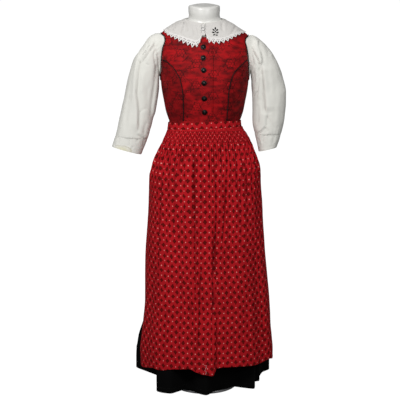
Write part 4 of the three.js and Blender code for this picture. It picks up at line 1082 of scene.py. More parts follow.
# ------------------------------------------------------------------ sheets made of several grids
def weld_sheet(name, grids, mats, sharp=40):
    """One closed thin body of cloth from grids (out, inn, uv in mm, flip) that share edges."""
    key, outer, inner = {}, [], []
    quads, uqs = [], []
    for out, inn, uv, flip in grids:
        R, C = out.shape[:2]
        ids = np.empty((R, C), int)
        ko = np.round(out, 2)
        for r in range(R):
            for c in range(C):
                k = (ko[r, c, 0], ko[r, c, 1], ko[r, c, 2])
                i = key.get(k)
                if i is None:
                    i = key[k] = len(outer)
                    outer.append(out[r, c])
                    inner.append(inn[r, c])
                ids[r, c] = i
        for r in range(R - 1):
            for c in range(C - 1):
                q = [ids[r, c], ids[r, c + 1], ids[r + 1, c + 1], ids[r + 1, c]]
                w = [uv[r, c], uv[r, c + 1], uv[r + 1, c + 1], uv[r + 1, c]]
                if flip:
                    q, w = q[::-1], w[::-1]
                s, sw = [], []
                for a, b in zip(q, w):
                    if a not in s:
                        s.append(a)
                        sw.append(b)
                if len(s) > 2:
                    quads.append(s)
                    uqs.append(sw)
    n = len(outer)
    ed = {}
    for q, w in zip(quads, uqs):
        for k in range(len(q)):
            p, s = q[k], q[(k + 1) % len(q)]
            if (s, p) in ed:
                del ed[(s, p)]
            else:
                ed[(p, s)] = (w[k], w[(k + 1) % len(q)])
    faces, uvs, fm = [], [], []
    for q, w in zip(quads, uqs):
        faces.append(q); uvs += w; fm.append(0)
        faces.append([i + n for i in q[::-1]]); uvs += w[::-1]; fm.append(1)
    for (p, s), (a, b) in ed.items():
        faces.append([s, p, p + n, s + n]); uvs += [b, a, a, b]; fm.append(0)
    ml = mats if isinstance(mats, (list, tuple)) else [mats]
    if len(ml) < 2:
        fm = [0] * len(fm)
    return make_object(name, np.concatenate([outer, inner]), [[int(i) for i in f] for f in faces], ml, True, np.asarray(uvs) / 1000, fm, sharp)


def piece(ob, slot, *nodes):
    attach(ob, "root")
    if nodes:
        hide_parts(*nodes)
    name = ob.name.split(".")[0]
    if nodes:
        ob.name = name + "_piece"
    return ob


# ------------------------------------------------------------------ dress form, pole and base
def ring_stack(name, rings, mats, uvs=None, sharp=35):
    """A closed solid from closed rings bottom to top."""
    K, n = rings.shape[:2]
    verts = np.concatenate([rings.reshape(-1, 3), rings[0].mean(0)[None], rings[-1].mean(0)[None]])
    faces, uv = [], []
    per = np.linalg.norm(np.roll(rings, -1, 1) - rings, axis=2)
    run = np.concatenate([np.zeros((K, 1)), np.cumsum(per, 1)], 1)
    up = np.concatenate([[0], np.cumsum(np.linalg.norm(np.diff(rings.mean(1), axis=0), axis=1) + 1e-3)])
    for k in range(K - 1):
        for j in range(n):
            j2 = (j + 1) % n
            faces.append((k * n + j, k * n + j2, (k + 1) * n + j2, (k + 1) * n + j))
            uv += [(run[k, j], up[k]), (run[k, j + 1], up[k]), (run[k + 1, j + 1], up[k + 1]), (run[k + 1, j], up[k + 1])]
    for j in range(n):
        j2 = (j + 1) % n
        faces.append((j2, j, K * n))
        faces.append(((K - 1) * n + j, (K - 1) * n + j2, K * n + 1))
        for ring, c in ((rings[0], rings[0].mean(0)), (rings[-1], rings[-1].mean(0))):
            a, b = (ring[j2], ring[j]) if ring is rings[0] else (ring[j], ring[j2])
            uv += [(a[0], a[1]), (b[0], b[1]), (c[0], c[1])]
    return make_object(name, verts, faces, mats, True, np.asarray(uv) / 1000, None, sharp)


def round_rings(profile, sides=64):
    """Rings about the Z axis from (radius, z) pairs."""
    w = np.arange(sides) / sides * 2 * math.pi
    return np.array([[(r * math.sin(a), -r * math.cos(a), z) for a in w] for r, z in profile])


deg96 = np.arange(0, 360, 3.75)
levels = np.concatenate([np.arange(0, 17, 0.25), np.arange(17, 21.01, 0.2)])
D, L = np.meshgrid(deg96, levels)
torso = on_figure(D, L, FORM_OFF * (1 - smooth(18.6, 20.4, L)))
rim = []
edge = figure(deg96, np.full(deg96.shape, 21.0))
for inset, rise in [(0.25, 1.7), (0.9, 3.4), (1.9, 4.9), (3.3, 6.1), (5.2, 7.0), (7.5, 7.6), (10.5, 7.9), (30, 8.0), (54, 8.0)]:
    s = 1 - inset / 56
    q = edge * s
    q[:, 2] = lerp(1419.5, edge[:, 2], s) + rise
    rim.append(q)
torso = np.concatenate([torso, np.array(rim)])
piece(ring_stack("dress_form", torso, M_FORM, sharp=60), "form_gloss", "form_torso")
top = 760 - SEAM
piece(ring_stack("form_stand_pole", round_rings([(POLE_R - 1, BASE_T + SEAM), (POLE_R + 5, BASE_T + SEAM), (POLE_R + 5, 21), (POLE_R + 4, 23), (POLE_R, 24), (POLE_R, 400), (POLE_R + 3.5, 401), (POLE_R + 4, 404), (POLE_R + 4, 424), (POLE_R + 3, 427), (POLE_R - 1.6, 428), (POLE_R - 1.6, 735), (POLE_R + 6, 737), (POLE_R + 6, top - 1), (POLE_R + 5, top)], 48), M_STAND), "stand_metal", "form_pole")
piece(ring_stack("form_stand_base", round_rings([(118, 0), (BASE_R - 1, 0.0), (BASE_R, 1.2), (BASE_R, 6), (BASE_R - 0.8, 8), (BASE_R - 3, 9.5), (BASE_R - 7, 10), (20, 10)], 96), M_STAND), "stand_metal", "form_base")

# ------------------------------------------------------------------ blouse body
for tag, rows, flip in (("l", seam_rows(BLOUSE_ROWS, -0.25), True), ("r", mirror_rows(seam_rows(BLOUSE_ROWS, -0.25)), False)):
    d, l = panel_params(rows, 30, 6, gap1=SEAM)
    ripple = 0.35 * noise(on_figure(d, l, 0), (16, 30, 40), 5)
    o, i = on_figure(d, l, BLOUSE_OUT + ripple), on_figure(d, l, BLOUSE_IN + ripple)
    piece(weld_sheet("blouse_front_" + tag, [(o, i, cloth_uv(d, l, o), flip)], [M_COTTON, M_COTTON_IN]), "blouse_white", "blouse_front_" + tag)
half = seam_rows(BLOUSE_BACK_ROWS, 0.25)
grids = []
for rows, flip in ((half, False), (mirror_rows(half), True)):
    d, l = panel_params(rows, 30, 6, gap1=0)
    o, i = on_figure(d, l, BLOUSE_OUT), on_figure(d, l, BLOUSE_IN)
    grids.append((o, i, cloth_uv(d, l, o), flip))
piece(weld_sheet("blouse_back", grids, [M_COTTON, M_COTTON_IN]), "blouse_white", "blouse_back")

# ------------------------------------------------------------------ collar and its lace
_cu = np.arange(0, (len(COLLAR_LINES) - 1) * 8 + 1) / 8
_cq = table_row(COLLAR_LINES, _cu)
_crun = np.concatenate([[0], np.cumsum(np.linalg.norm(np.diff(figure(_cq[:, 1], _cq[:, 2]), axis=0), axis=1))])
COLLAR_RUN = _crun[-1]


def collar_u(s):
    return np.interp(s, _crun, _cu)


def collar_len(u):
    q = table_row(COLLAR_LINES, u)
    k = np.linspace(0, 1, 13)[:, None]
    P = figure(lerp(q[..., 0], q[..., 1], k), lerp(COLLAR_NECK_LEVEL, q[..., 2], k))
    return np.linalg.norm(np.diff(P, axis=0), axis=-1).sum(0)


def collar_at(u, s, extra=0.0):
    """A point of the collar's underside raised by extra: u along it, s from the neck seam (0) to the lace's edge (1)."""
    q = table_row(COLLAR_LINES, u)
    d, l = lerp(q[..., 0], q[..., 1], s), lerp(COLLAR_NECK_LEVEL, q[..., 2], s)
    off = lerp(COLLAR_ROOT, COLLAR_IN, smooth(0, 0.42, s)) + extra
    return on_figure(d, l, off)


COLLAR_FOLDS = [
    ([(184.2, 16), (183.4, 22), (181.6, 28), (180.4, 36)], 1.3, 1.5),
    ([(186.6, 19), (187.0, 25), (188.0, 33)], 1.0, 1.1),
    ([(193.2, 23), (193.6, 29), (194.6, 37)], 1.1, 1.0),
    ([(196.6, 26), (198.2, 32)], 0.8, 0.7),
    ([(221.2, 17), (222.2, 24), (222.4, 32)], 1.4, 1.4),
    ([(236.5, 25), (232.5, 32), (229.0, 38)], 1.3, 1.3),
    ([(176, 24), (171.5, 31)], 1.3, 0.9),
    ([(213, 24), (211, 33)], 1.0, 0.5),
]


def collar_relief(P):
    px, py = to_frame(P)
    h = np.zeros(px.shape)
    front = smooth(-5, -25, P[..., 1])
    for line, w, dpt in COLLAR_FOLDS:
        h += crease(px, py, line, 1.05 * w, 1.9 * dpt) * front
    # the hidden half gets folds of the same kind
    a = np.arctan2(P[..., 0], P[..., 1]) / DEG          # 0 at the back
    r = np.hypot(P[..., 0], P[..., 1])
    for at, w, dpt in ((-52, 5, 1.3), (-31, 4, 1.0), (-14, 5, 0.8), (9, 4, 0.9), (27, 5, 1.2), (48, 4, 1.3)):
        h += -dpt * np.exp(-((a - at - 3 * np.sin(r / 25.0)) / w) ** 2) * smooth(5, 25, P[..., 1])
    return h + 0.6 * noise(P, (26, 26, 30), 11) + 0.25 * noise(P, (9, 9, 14), 13)


nc, nr = 420, 32
s_along = np.linspace(0, COLLAR_RUN, nc + 1)
u = collar_u(s_along)
clen = collar_len(u)
edge_s = 1 - (LACE_W + 0.4) / clen
t = np.linspace(0, 1, nr + 1)[:, None] ** 0.9
S = t * edge_s[None]
U = np.broadcast_to(u[None], S.shape)
base = collar_at(U, S, 0.6)
rel = collar_relief(base) * smooth(0.03, 0.25, t) * (1 - 0.75 * smooth(0.85, 1.0, t))
hemline = 0.45 * np.exp(-(((1 - t) * edge_s[None] * clen[None] - 5.0) / 0.9) ** 2)      # the stitched turn-in
o, i = collar_at(U, S, 1.2 + rel - hemline), collar_at(U, S, 0.0 + rel)
uvc = np.stack([np.broadcast_to(s_along[None], S.shape), -S * clen[None]], -1)
collar_outer = o
piece(grid_sheet("blouse_collar", o, i, uvc, [M_COLLAR_SHADED, M_COTTON_IN]), "blouse_white", "blouse_collar")
# stitched line along the turn-in, and the neck binding
bag = Gather()
row = int(nr * 0.955)
stitches(bag, o[row], normals_of(o)[row], 2.6, 0.9, 0.24)
piece(bag.make("collar_stitching", M_THREAD_W), "blouse_white")
nk = collar_at(u, np.full(u.shape, 0.004), 0.4)
nk_n = unit(nk * np.array([1, 1, 0]))
nb = []
for off, lev_ in ((3.6, 17.80), (3.0, 17.93), (1.4, 18.03), (-0.6, 18.12), (-2.2, 18.22), (-2.7, 18.30)):
    nb.append(on_figure(table_row(COLLAR_LINES, u)[:, 0], np.full(u.shape, lev_), off))
nb = np.array(nb)[:, ::2]
nbn = normals_of(nb)
nb_uv = np.stack(np.broadcast_arrays(s_along[None, ::2], np.arange(6)[:, None] * 2.0), -1)
piece(grid_sheet("neck_binding", nb + nbn * 0.9, nb - nbn * 0.3, nb_uv, [M_COLLAR_SHADED, M_COTTON_IN]), "blouse_white")

# the lace: pointed teeth with worked edges and small eyelets
TEETH = int(round(COLLAR_RUN / LACE_PITCH))


def lace_template():
    """One pitch of lace: x along (0..1), y from the root (-2.5) to the tip (15), with real holes; and its worked lines."""
    def tooth(x):
        k = 1 - abs(2 * x - 1)
        return 8.2 + 6.6 * k ** 0.9 - 0.8 * abs(math.sin(3 * math.pi * k))
    outer = [(x, tooth(x)) for x in np.linspace(0, 1, 25)]
    loop = [(0.0, -2.5), (0.25, -2.5), (0.5, -2.5), (0.75, -2.5), (1.0, -2.5), (1.0, 0.0), (1.0, 3.5)] + outer[::-1] + [(0.0, 3.5), (0.0, 0.0)]
    holes = [(0.5, 9.2, 1.7), (0.27, 5.0, 1.0), (0.73, 5.0, 1.0), (0.5, 4.2, 1.0), (0.06, 2.6, 0.0)]
    verts, edges = [Vector((p[0] * LACE_PITCH, p[1])) for p in loop], []
    n = len(loop)
    edges += [(k, (k + 1) % n) for k in range(n)]
    for x, y, r in holes:
        if r <= 0:
            continue
        m, s = 10, len(verts)
        for k in range(m):
            a = k / m * 2 * math.pi
            verts.append(Vector((x * LACE_PITCH + r * math.cos(a), y + r * math.sin(a))))
        edges += [(s + k, s + (k + 1) % m) for k in range(m)]
    for x in (0.15, 0.38, 0.62, 0.85):                 # points inside keep the triangles small
        verts.append(Vector((x * LACE_PITCH, 0.4)))
    verts.append(Vector((0.5 * LACE_PITCH, 12.3)))
    verts.append(Vector((0.5 * LACE_PITCH, 6.7)))
    vs, es, fs, *_ = delaunay_2d_cdt(verts, edges, [], 0, 1e-5)
    tris = []
    for fc in fs:
        c = sum((vs[k] for k in fc), Vector((0, 0))) / len(fc)
        x, y = c.x / LACE_PITCH, c.y
        if y > tooth(min(max(x, 0), 1)) - 0.02 or x < 0 or x > 1:
            continue
        if any(r > 0 and math.hypot((x - hx) * LACE_PITCH, y - hy) < r * 0.93 for hx, hy, r in holes):
            continue
        a, b, d = (vs[k] for k in fc)
        tris.append(tuple(fc) if (b - a).cross(d - a) > 0 else tuple(fc)[::-1])
    rings = [[(hx * LACE_PITCH + (r + 0.35) * math.cos(a), hy + (r + 0.35) * math.sin(a)) for a in np.arange(9) / 9 * 2 * math.pi] for hx, hy, r in holes if r > 0]
    edge_line = [(x * LACE_PITCH, y - 0.35) for x, y in outer]
    return np.array([(p.x, p.y) for p in vs]), tris, edge_line, rings


lv, lt, l_edge, l_rings = lace_template()


def lace_place(k, pts, extra):
    """Points (mm along, mm out) of tooth k on the collar's surface."""
    pts = np.asarray(pts, float)
    s = (k + pts[:, 0] / LACE_PITCH) / TEETH * COLLAR_RUN
    uu = collar_u(s)
    ss = 1 - (LACE_W - pts[:, 1]) / collar_len(uu)
    lift = extra + np.where(pts[:, 1] < 0, -0.75, 0.0) + 0.5 * np.sin(s / 21.0) * smooth(2, 12, pts[:, 1]) * 0.8
    base = collar_at(uu, ss, 0.3)
    return base + unit(figure_normal(lerp(*[table_row(COLLAR_LINES, uu)[:, q] for q in (0, 1)], ss), lerp(COLLAR_NECK_LEVEL, table_row(COLLAR_LINES, uu)[:, 2], ss))) * lift[:, None]


key, LV, LF, LU = {}, [], [], []
for k in range(TEETH):
    top_p, bot_p = lace_place(k, lv, 0.9), lace_place(k, lv, 0.1)
    ids = []
    for q in range(len(lv)):
        kk = tuple(np.round(top_p[q], 2))
        if kk not in key:
            key[kk] = len(LV)
            LV.append((top_p[q], bot_p[q], ((k + lv[q, 0] / LACE_PITCH) * LACE_PITCH, lv[q, 1])))
        ids.append(key[kk])
    for tr in lt:
        q = [ids[a] for a in tr]
        if len(set(q)) == 3:
            LF.append(q)
n = len(LV)
ed = {}
for q in LF:
    for a, b in ((q[0], q[1]), (q[1], q[2]), (q[2], q[0])):
        if (b, a) in ed:
            del ed[(b, a)]
        else:
            ed[(a, b)] = 1
A = np.array([p[0] for p in LV]); B = np.array([p[1] for p in LV]); UVL = np.array([p[2] for p in LV])
f0 = LF[0]
nrm = np.cross(A[f0[1]] - A[f0[0]], A[f0[2]] - A[f0[0]])
out_dir = A[f0[0]] - B[f0[0]]
if np.dot(nrm, out_dir) < 0:                            # faces must look out
    LF = [q[::-1] for q in LF]
    ed = {(b, a): 1 for a, b in ed}
faces = [list(q) for q in LF] + [[x + n for x in q[::-1]] for q in LF] + [[b, a, a + n, b + n] for a, b in ed]
uvl = [UVL[x] for q in LF for x in q] + [UVL[x] for q in LF for x in q[::-1]] + [UVL[x] for a, b in ed for x in (b, a, a, b)]
piece(make_object("collar_lace", np.concatenate([A, B]), faces, [M_LACE], True, np.array(uvl) / 1000, None, 40), "lace", "collar_lace")
bag = Gather()
for k in range(TEETH):
    P = lace_place(k, l_edge, 0.75)
    N = unit(lace_place(k, l_edge, 1.75) - P)
    v, f, w = tube_along(P, N, 0.5, False, 4); bag.add(v, f, w)
    for ring in l_rings:
        P = lace_place(k, ring, 0.8)
        N = unit(lace_place(k, ring, 1.8) - P)
        v, f, w = tube_along(P, N, 0.38, True, 4); bag.add(v, f, w)
lace_cord = bag.make("collar_lace_cords", M_LACE)
piece(lace_cord, "lace")

# neck tab and the ring of its press stud
tl_ = np.linspace(0, 1, 33)[:, None]
tw_ = np.linspace(-1, 1, 25)[None]
half_w = 6.8 * (1 - clamp((tl_ - 0.72) / 0.28, 0, 1) ** 2.2) ** 0.5 * (1 - 0.45 * clamp((0.2 - tl_) / 0.2, 0, 1) ** 2) + 0.35
dd = -5.0 + half_w * tw_
ll = lerp(13.5, 17.7, tl_) + 0 * tw_
inset = np.maximum(np.abs(tw_), np.maximum(1 - tl_ * 7, 1 - (1 - tl_) * 7)) + 0 * ll
bend = 0.35 * noise(figure(dd, ll), 18, 21) - 0.6 * smooth(0.88, 1.0, inset) - 0.9 * np.exp(-((inset - 0.70) / 0.10) ** 2) - 0.9 * smooth(16.8, 17.75, ll)
o, i = on_figure(dd, ll, 13.2 + bend), on_figure(dd, ll, 12.2 + 0 * bend)
piece(grid_sheet("collar_tab", o, i, np.stack([run_of(dd), o[..., 2]], -1), [M_COLLAR_SHADED, M_COTTON_IN]), "blouse_white", "collar_tab")
# the tab's stitched outline
ta = np.concatenate([np.linspace(0.16, 0.97, 40), np.linspace(0.97, 0.16, 40)])
ts_ = np.concatenate([-np.ones(40), np.ones(40)])
hw_ = 6.8 * (1 - clamp((ta - 0.70) / 0.27, 0, 1) ** 2.2) ** 0.5 * 0.70
ld, ll2 = -5.0 + hw_ * ts_, lerp(13.5, 17.7, ta)
P, M = on_figure(ld, ll2, 13.2 + 0.35 * noise(figure(ld, ll2), 18, 21) - 0.55 - 0.9 * smooth(16.8, 17.75, ll2)), figure_normal(ld, ll2)
bag = Gather()
stitches(bag, P, M, 2.6, 0.7, 0.5)
piece(bag.make("tab_stitching", M_THREAD_G), "blouse_white")


def on_normal(profile, at, normal, sides=32, mats=None, name="x", bumps=None):
    """A turned piece whose axis is a surface normal; profile is (radius, height)."""
    z = unit(normal)
    x = unit(np.cross(np.array([0, 0, 1.0]), z)); y = np.cross(z, x)
    w = np.arange(sides) / sides * 2 * math.pi
    rings = np.array([[at + x * (r * math.cos(a)) + y * (r * math.sin(a)) + z * (h + (bumps(r, a) if bumps else 0)) for a in w] for r, h in profile])
    return rings


p, nn = on_figure(-5.2, 15.45, 13.45), figure_normal(-5.2, 15.45)
rings = on_normal([(0.5, -1.2), (6.4, -0.9), (6.9, -0.2), (6.9, 0.5), (6.4, 1.0), (5.7, 1.15), (5.1, 0.9), (4.8, 0.3), (4.5, -0.7), (0.3, -0.8)], p, nn, 40)
piece(ring_stack("collar_stud", rings, M_STUD, sharp=50), "stud_metal", "collar_stud")

# small embroidered sprig on the collar's left half: a plain stem with paired leaves, in satin stitch
CN = normals_of(collar_outer)
cpx, cpy = to_frame(collar_outer)
facing = collar_outer[..., 1] < -20


def collar_spot(x, y):
    k = np.argmin(np.where(facing, np.hypot(cpx - x, cpy - y), 1e9))
    r, c = np.unravel_index(k, cpx.shape)
    r1, c1 = (r + 1 if r + 1 < cpx.shape[0] else r - 1), (c + 1 if c + 1 < cpx.shape[1] else c - 1)
    J = np.array([[cpx[r1, c] - cpx[r, c], cpx[r, c1] - cpx[r, c]], [cpy[r1, c] - cpy[r, c], cpy[r, c1] - cpy[r, c]]])
    a, b = np.clip(np.linalg.solve(J, [x - cpx[r, c], y - cpy[r, c]]), -1, 1)
    P = collar_outer[r, c] + a * (collar_outer[r1, c] - collar_outer[r, c]) + b * (collar_outer[r, c1] - collar_outer[r, c])
    return P, (CN[r, c] if CN[r, c, 1] < 0 else -CN[r, c])


bag = Gather()


def satin_leaf(x, y, ang, length, wide, petals=False):
    """A raised leaf of close stitches about a frame point; sizes in mm, angle from the horizontal."""
    at, nrm = collar_spot(x, y)
    ex = unit(np.cross(np.array([0, 0, 1.0]), nrm)); ey = np.cross(nrm, ex)
    if ex[0] < 0:
        ex, ey = -ex, -ey
    ca, sa = math.cos(ang), math.sin(ang)
    ax, ay = ex * ca + ey * sa, ey * ca - ex * sa
    m = max(6, int(length / 0.55))
    for k in range(m):
        q = (k + 0.5) / m * 2 - 1
        hw = wide * (1 - q * q) ** 0.6
        c = at + ax * (q * length / 2)
        line = []
        for across, up in ((-1, 0.1), (-0.5, 0.75), (0.5, 0.75), (1, 0.1)):
            qx, qy = to_frame((c + ay * hw * across)[None])
            line.append(collar_spot(float(qx[0]), float(qy[0]))[0] + nrm * up)
        v, f, w = tube_along(np.array(line), np.repeat(nrm[None], 4, 0), 0.42, False, 4)
        bag.add(v, f, w)


stem = [(215.2, 35.4), (215.0, 33.6), (215.3, 31.6), (215.2, 29.8)]
pts, ns = zip(*[collar_spot(*q) for q in stem])
P, N = resample(np.array(pts), 1.0, [np.array(ns)])
v, f, w = tube_along(P + unit(N) * 0.25, unit(N), 0.42, False, 6); bag.add(v, f, w)
for x, y, a, ln, wd in ((215.3, 28.4, 1.5, 9.5, 3.0), (213.5, 29.8, 2.35, 9.0, 2.7), (217.1, 30.0, 0.8, 9.0, 2.7), (213.2, 32.4, 2.8, 9.5, 2.8), (217.4, 32.6, 0.35, 9.5, 2.8), (214.0, 34.9, 3.4, 7.5, 2.4), (216.7, 35.1, -0.25, 7.5, 2.4), (215.3, 31.6, 1.5, 5.0, 2.4)):
    satin_leaf(x, y, a, ln, wd)
piece(bag.make("collar_sprig", M_THREAD_K), "piping_black")

# ------------------------------------------------------------------ sleeves and cuffs
def armhole_loop(side):
    """The bodice's armhole edge as (angle from the front, level) pairs, from the underarm up the front and down the back."""
    rows = FRONT_ROWS if side < 0 else FRONT_LEFT_ROWS
    side_rows = SIDE_FRONT_ROWS if side < 0 else SIDE_FRONT_LEFT_ROWS
    loop = [(abs(r[0]), r[1]) for r in side_rows[-5:]] + [(abs(r[0]), r[1]) for r in rows[10:]]
    for r in BACK_ROWS[::-1][1:]:
        loop.append((abs(r[0]), r[1]))
        if np.allclose(r, BACK_ROWS[5]):
            break
    return np.array(loop)


def sleeve_rings(table, side, steps, armhole):
    w = np.arange(steps) / steps * 2 * math.pi
    rings = []
    if armhole:
        L_ = armhole_loop(side)
        wl = np.arctan2((90 - L_[:, 0]) / ARM_HALF, (L_[:, 1] - ARM_LEVEL) / ARM_RISE) % (2 * math.pi)
        order = np.argsort(wl)
        wl, L_ = wl[order], L_[order]
        wl = np.concatenate([wl[-2:] - 2 * math.pi, wl, wl[:2] + 2 * math.pi])
        L_ = np.concatenate([L_[-2:], L_, L_[:2]])
        rd = np.interp(w, wl, L_[:, 0] - 90)
        rl = np.interp(w, wl, L_[:, 1] - ARM_LEVEL)
        for _ in range(4):                              # rounds the corners of the drawn edge
            rd = (np.roll(rd, 1) + 2 * rd + np.roll(rd, -1)) / 4
            rl = (np.roll(rl, 1) + 2 * rl + np.roll(rl, -1)) / 4
        for off, grow in ((ARM_OFF, 0.94), (9.6, 0.96)):
            rings.append(on_figure(side * (90 + rd * grow), ARM_LEVEL + rl * grow, off))
    c, s = np.cos(w), np.sin(w)
    q = (np.abs(c) ** 2.3 + np.abs(s) ** 2.3) ** (-1 / 2.3)
    for ox, oz, ix, iz, yc, dep in table:
        rings.append(np.stack([(ox + ix) / 2 + (ox - ix) / 2 * c * q, yc - dep * s * q, (oz + iz) / 2 + (oz - iz) / 2 * c * q], -1))
    rings = np.array(rings)
    return rings if side > 0 else rings[:, ::-1]


# folds over one another: (line, depth mm, side that stands up, reach px)
SLEEVE_OVER = {
    "r": [
        ([(143.6, 52), (140.6, 57), (138.9, 62), (138.0, 67), (136.9, 75), (136.1, 86), (135.5, 93), (136.8, 102), (137.9, 112), (137.6, 124), (138.0, 134)], 3.6, -1, 6.0),
        ([(158.0, 63), (157.0, 71), (155.5, 84), (153.8, 96), (152.0, 107), (151.4, 119)], 3.2, 1, 4.5),
        ([(155.2, 42), (151.0, 48), (147.4, 53), (142.6, 59), (141.0, 63)], 2.4, -1, 4.0),
        ([(136.6, 133.0), (140.5, 135.4), (145.5, 139.4)], 1.6, 1, 3.0),
    ],
    "l": [
        ([(258.4, 39), (257.8, 46), (260.6, 53), (262.0, 58.5), (262.3, 65.0)], 2.6, -1, 4.5),
        ([(248.6, 43.5), (252.0, 48.4), (255.4, 53.4), (258.2, 59.0), (260.6, 65.8)], 2.0, 1, 3.2),
        ([(262.4, 64.5), (262.9, 70), (263.2, 76), (264.3, 86), (265.0, 96.5), (265.7, 107), (267.0, 113.6)], 3.6, 1, 7.5),
        ([(267.0, 112.6), (265.7, 120), (265.6, 126), (262.1, 130), (256.4, 133.8)], 1.9, -1, 4.5),
        ([(267.3, 114), (271.4, 120.7), (276.2, 128.4)], 0.9, 1, 4.5),
        ([(265.4, 125.6), (268.7, 130.6), (264.6, 136.8)], 1.2, 1, 3.6),
        ([(260.6, 73), (259.6, 82), (258.8, 89), (257.6, 100)], 1.8, 1, 3.4),
    ],
}
SLEEVE_FOLDS = {
    "r": {"front": [
        ([(150.2, 43.5), (146.8, 49.0), (141.8, 56.5)], 0.9, 1.5, 0.7),
        ([(154.2, 50), (154.0, 57), (155.6, 64), (156.8, 70)], 0.9, 1.3, 0.9),
        ([(160.5, 60.0), (156.2, 60.8), (153.4, 63.4)], 1.0, 0.6, 0.3),
        ([(159.8, 53), (155.6, 56)], 1.1, 0.5, 0.3),
        ([(160.8, 44.5), (156.6, 46.9)], 1.0, 0.5, 0.3),
        ([(149.6, 50), (147.6, 62)], 1.4, -1.0, 0.1),
        ([(145.5, 69), (142.6, 80), (141.8, 94)], 1.6, -0.9, 0.2),
        ([(147.8, 84), (147.8, 100), (146.4, 114)], 1.5, 0.8, 0.3),
        ([(131.8, 68), (128.8, 84), (126.4, 100), (123.2, 114), (119.8, 130)], 1.6, -0.9, 0.2),
        ([(131.2, 84), (129.2, 100), (126.4, 118), (125.6, 134)], 1.3, 0.6, 0.3),
        ([(147.0, 108), (142.2, 110), (139.4, 112.6)], 1.0, 0.6, 0.5),
        ([(146.5, 121), (144.4, 129), (143.6, 135)], 1.1, 0.9, 0.5),
        ([(145.6, 63), (148.8, 65.4)], 0.8, 0.9, 0.5),
    ], "back": [
        ([(143, 50), (139, 60), (137, 74), (138.4, 90), (137, 108), (133, 126)], 1.2, 2.0, 0.6),
        ([(153, 46), (148, 54), (145.5, 64), (146.5, 78)], 1.0, 1.6, 0.6),
        ([(152, 70), (150, 86), (148, 102), (144, 118)], 1.2, 1.8, 0.6),
        ([(131, 76), (130, 92), (126.5, 108), (124.5, 122)], 1.2, 1.2, 0.5),
        ([(155, 60), (150, 63), (145, 62)], 0.9, 1.3, 0.6),
        ([(143, 96), (138, 99), (131, 98)], 0.9, 1.1, 0.6),
    ]},
    "l": {"front": [
        ([(253.4, 41.0), (256.8, 46.8), (259.4, 53.4)], 0.9, 1.2, 0.6),
        ([(264.6, 69), (267.4, 76), (269.2, 84), (268.8, 96)], 1.8, 1.1, 0.2),
        ([(259.4, 67), (258.0, 73), (256.6, 79)], 0.8, 1.4, 0.6),
        ([(253.6, 96.8), (255.4, 93.2), (257.6, 90.4)], 0.7, 1.4, 0.6),
        ([(250.4, 52), (252.8, 58), (254.0, 66)], 0.9, 1.0, 0.5),
        ([(257.8, 104), (258.2, 116), (257.2, 126)], 1.2, 1.0, 0.4),
        ([(261.8, 90), (262.0, 102), (262.4, 114)], 1.0, 0.9, 0.4),
        ([(277.0, 103), (277.6, 114), (276.0, 124)], 1.6, -0.8, 0.2),
        ([(265.0, 45), (268.0, 51), (269.0, 58)], 1.2, 0.8, 0.5),
        ([(254.4, 71), (254.8, 84)], 0.9, 0.9, 0.5),
        ([(259.6, 131.6), (258.6, 138)], 0.9, 0.8, 0.5),
    ], "back": [
        ([(263, 44), (266, 56), (266, 70), (268, 86), (267, 104), (264, 120)], 1.2, 2.2, 0.6),
        ([(253, 46), (258, 54), (261, 63)], 1.0, 1.6, 0.6),
        ([(259, 72), (257.5, 88), (259, 104), (258, 120)], 1.1, 1.7, 0.6),
        ([(275, 74), (277, 92), (276.5, 108), (273, 124)], 1.2, 1.3, 0.5),
        ([(270, 96), (265, 100), (259, 99)], 0.9, 1.3, 0.6),
        ([(271, 66), (265, 64), (260, 66)], 0.9, 1.1, 0.6),
    ]},
}
CUFF_FOLDS = {
    "r": [([(137.6, 135), (137.2, 143)], 1.0, 0.9, 0.5), ([(129.6, 139), (129.2, 147)], 0.9, 0.8, 0.5), ([(144.6, 138), (142.4, 148)], 1.0, 0.9, 0.4), ([(119.6, 137), (118.0, 144)], 0.9, 0.7, 0.4), ([(133.0, 146), (131.5, 149.6)], 0.8, 0.8, 0.4)],
    "l": [([(265.4, 133.5), (263.2, 137.5), (262.6, 143)], 0.9, 1.2, 0.4), ([(270.5, 137), (269.5, 147)], 1.4, -0.7, 0.2), ([(258.0, 137), (259.6, 146)], 0.9, 0.8, 0.4), ([(274.5, 135), (273.0, 144)], 1.1, 0.8, 0.4)],
}


def tube_normals(P):
    return normals_of(P, closed=True)


def fold_relief(P, N, folds, front=True):
    px, py = to_frame(P)
    face = smooth(0.05, -0.35, N[..., 1]) if front else smooth(-0.05, 0.35, N[..., 1])
    h = np.zeros(px.shape)
    for line, w, dpt, lip in folds:
        h += crease(px, py, line, 1.25 * w, dpt, lip) * face
    return h


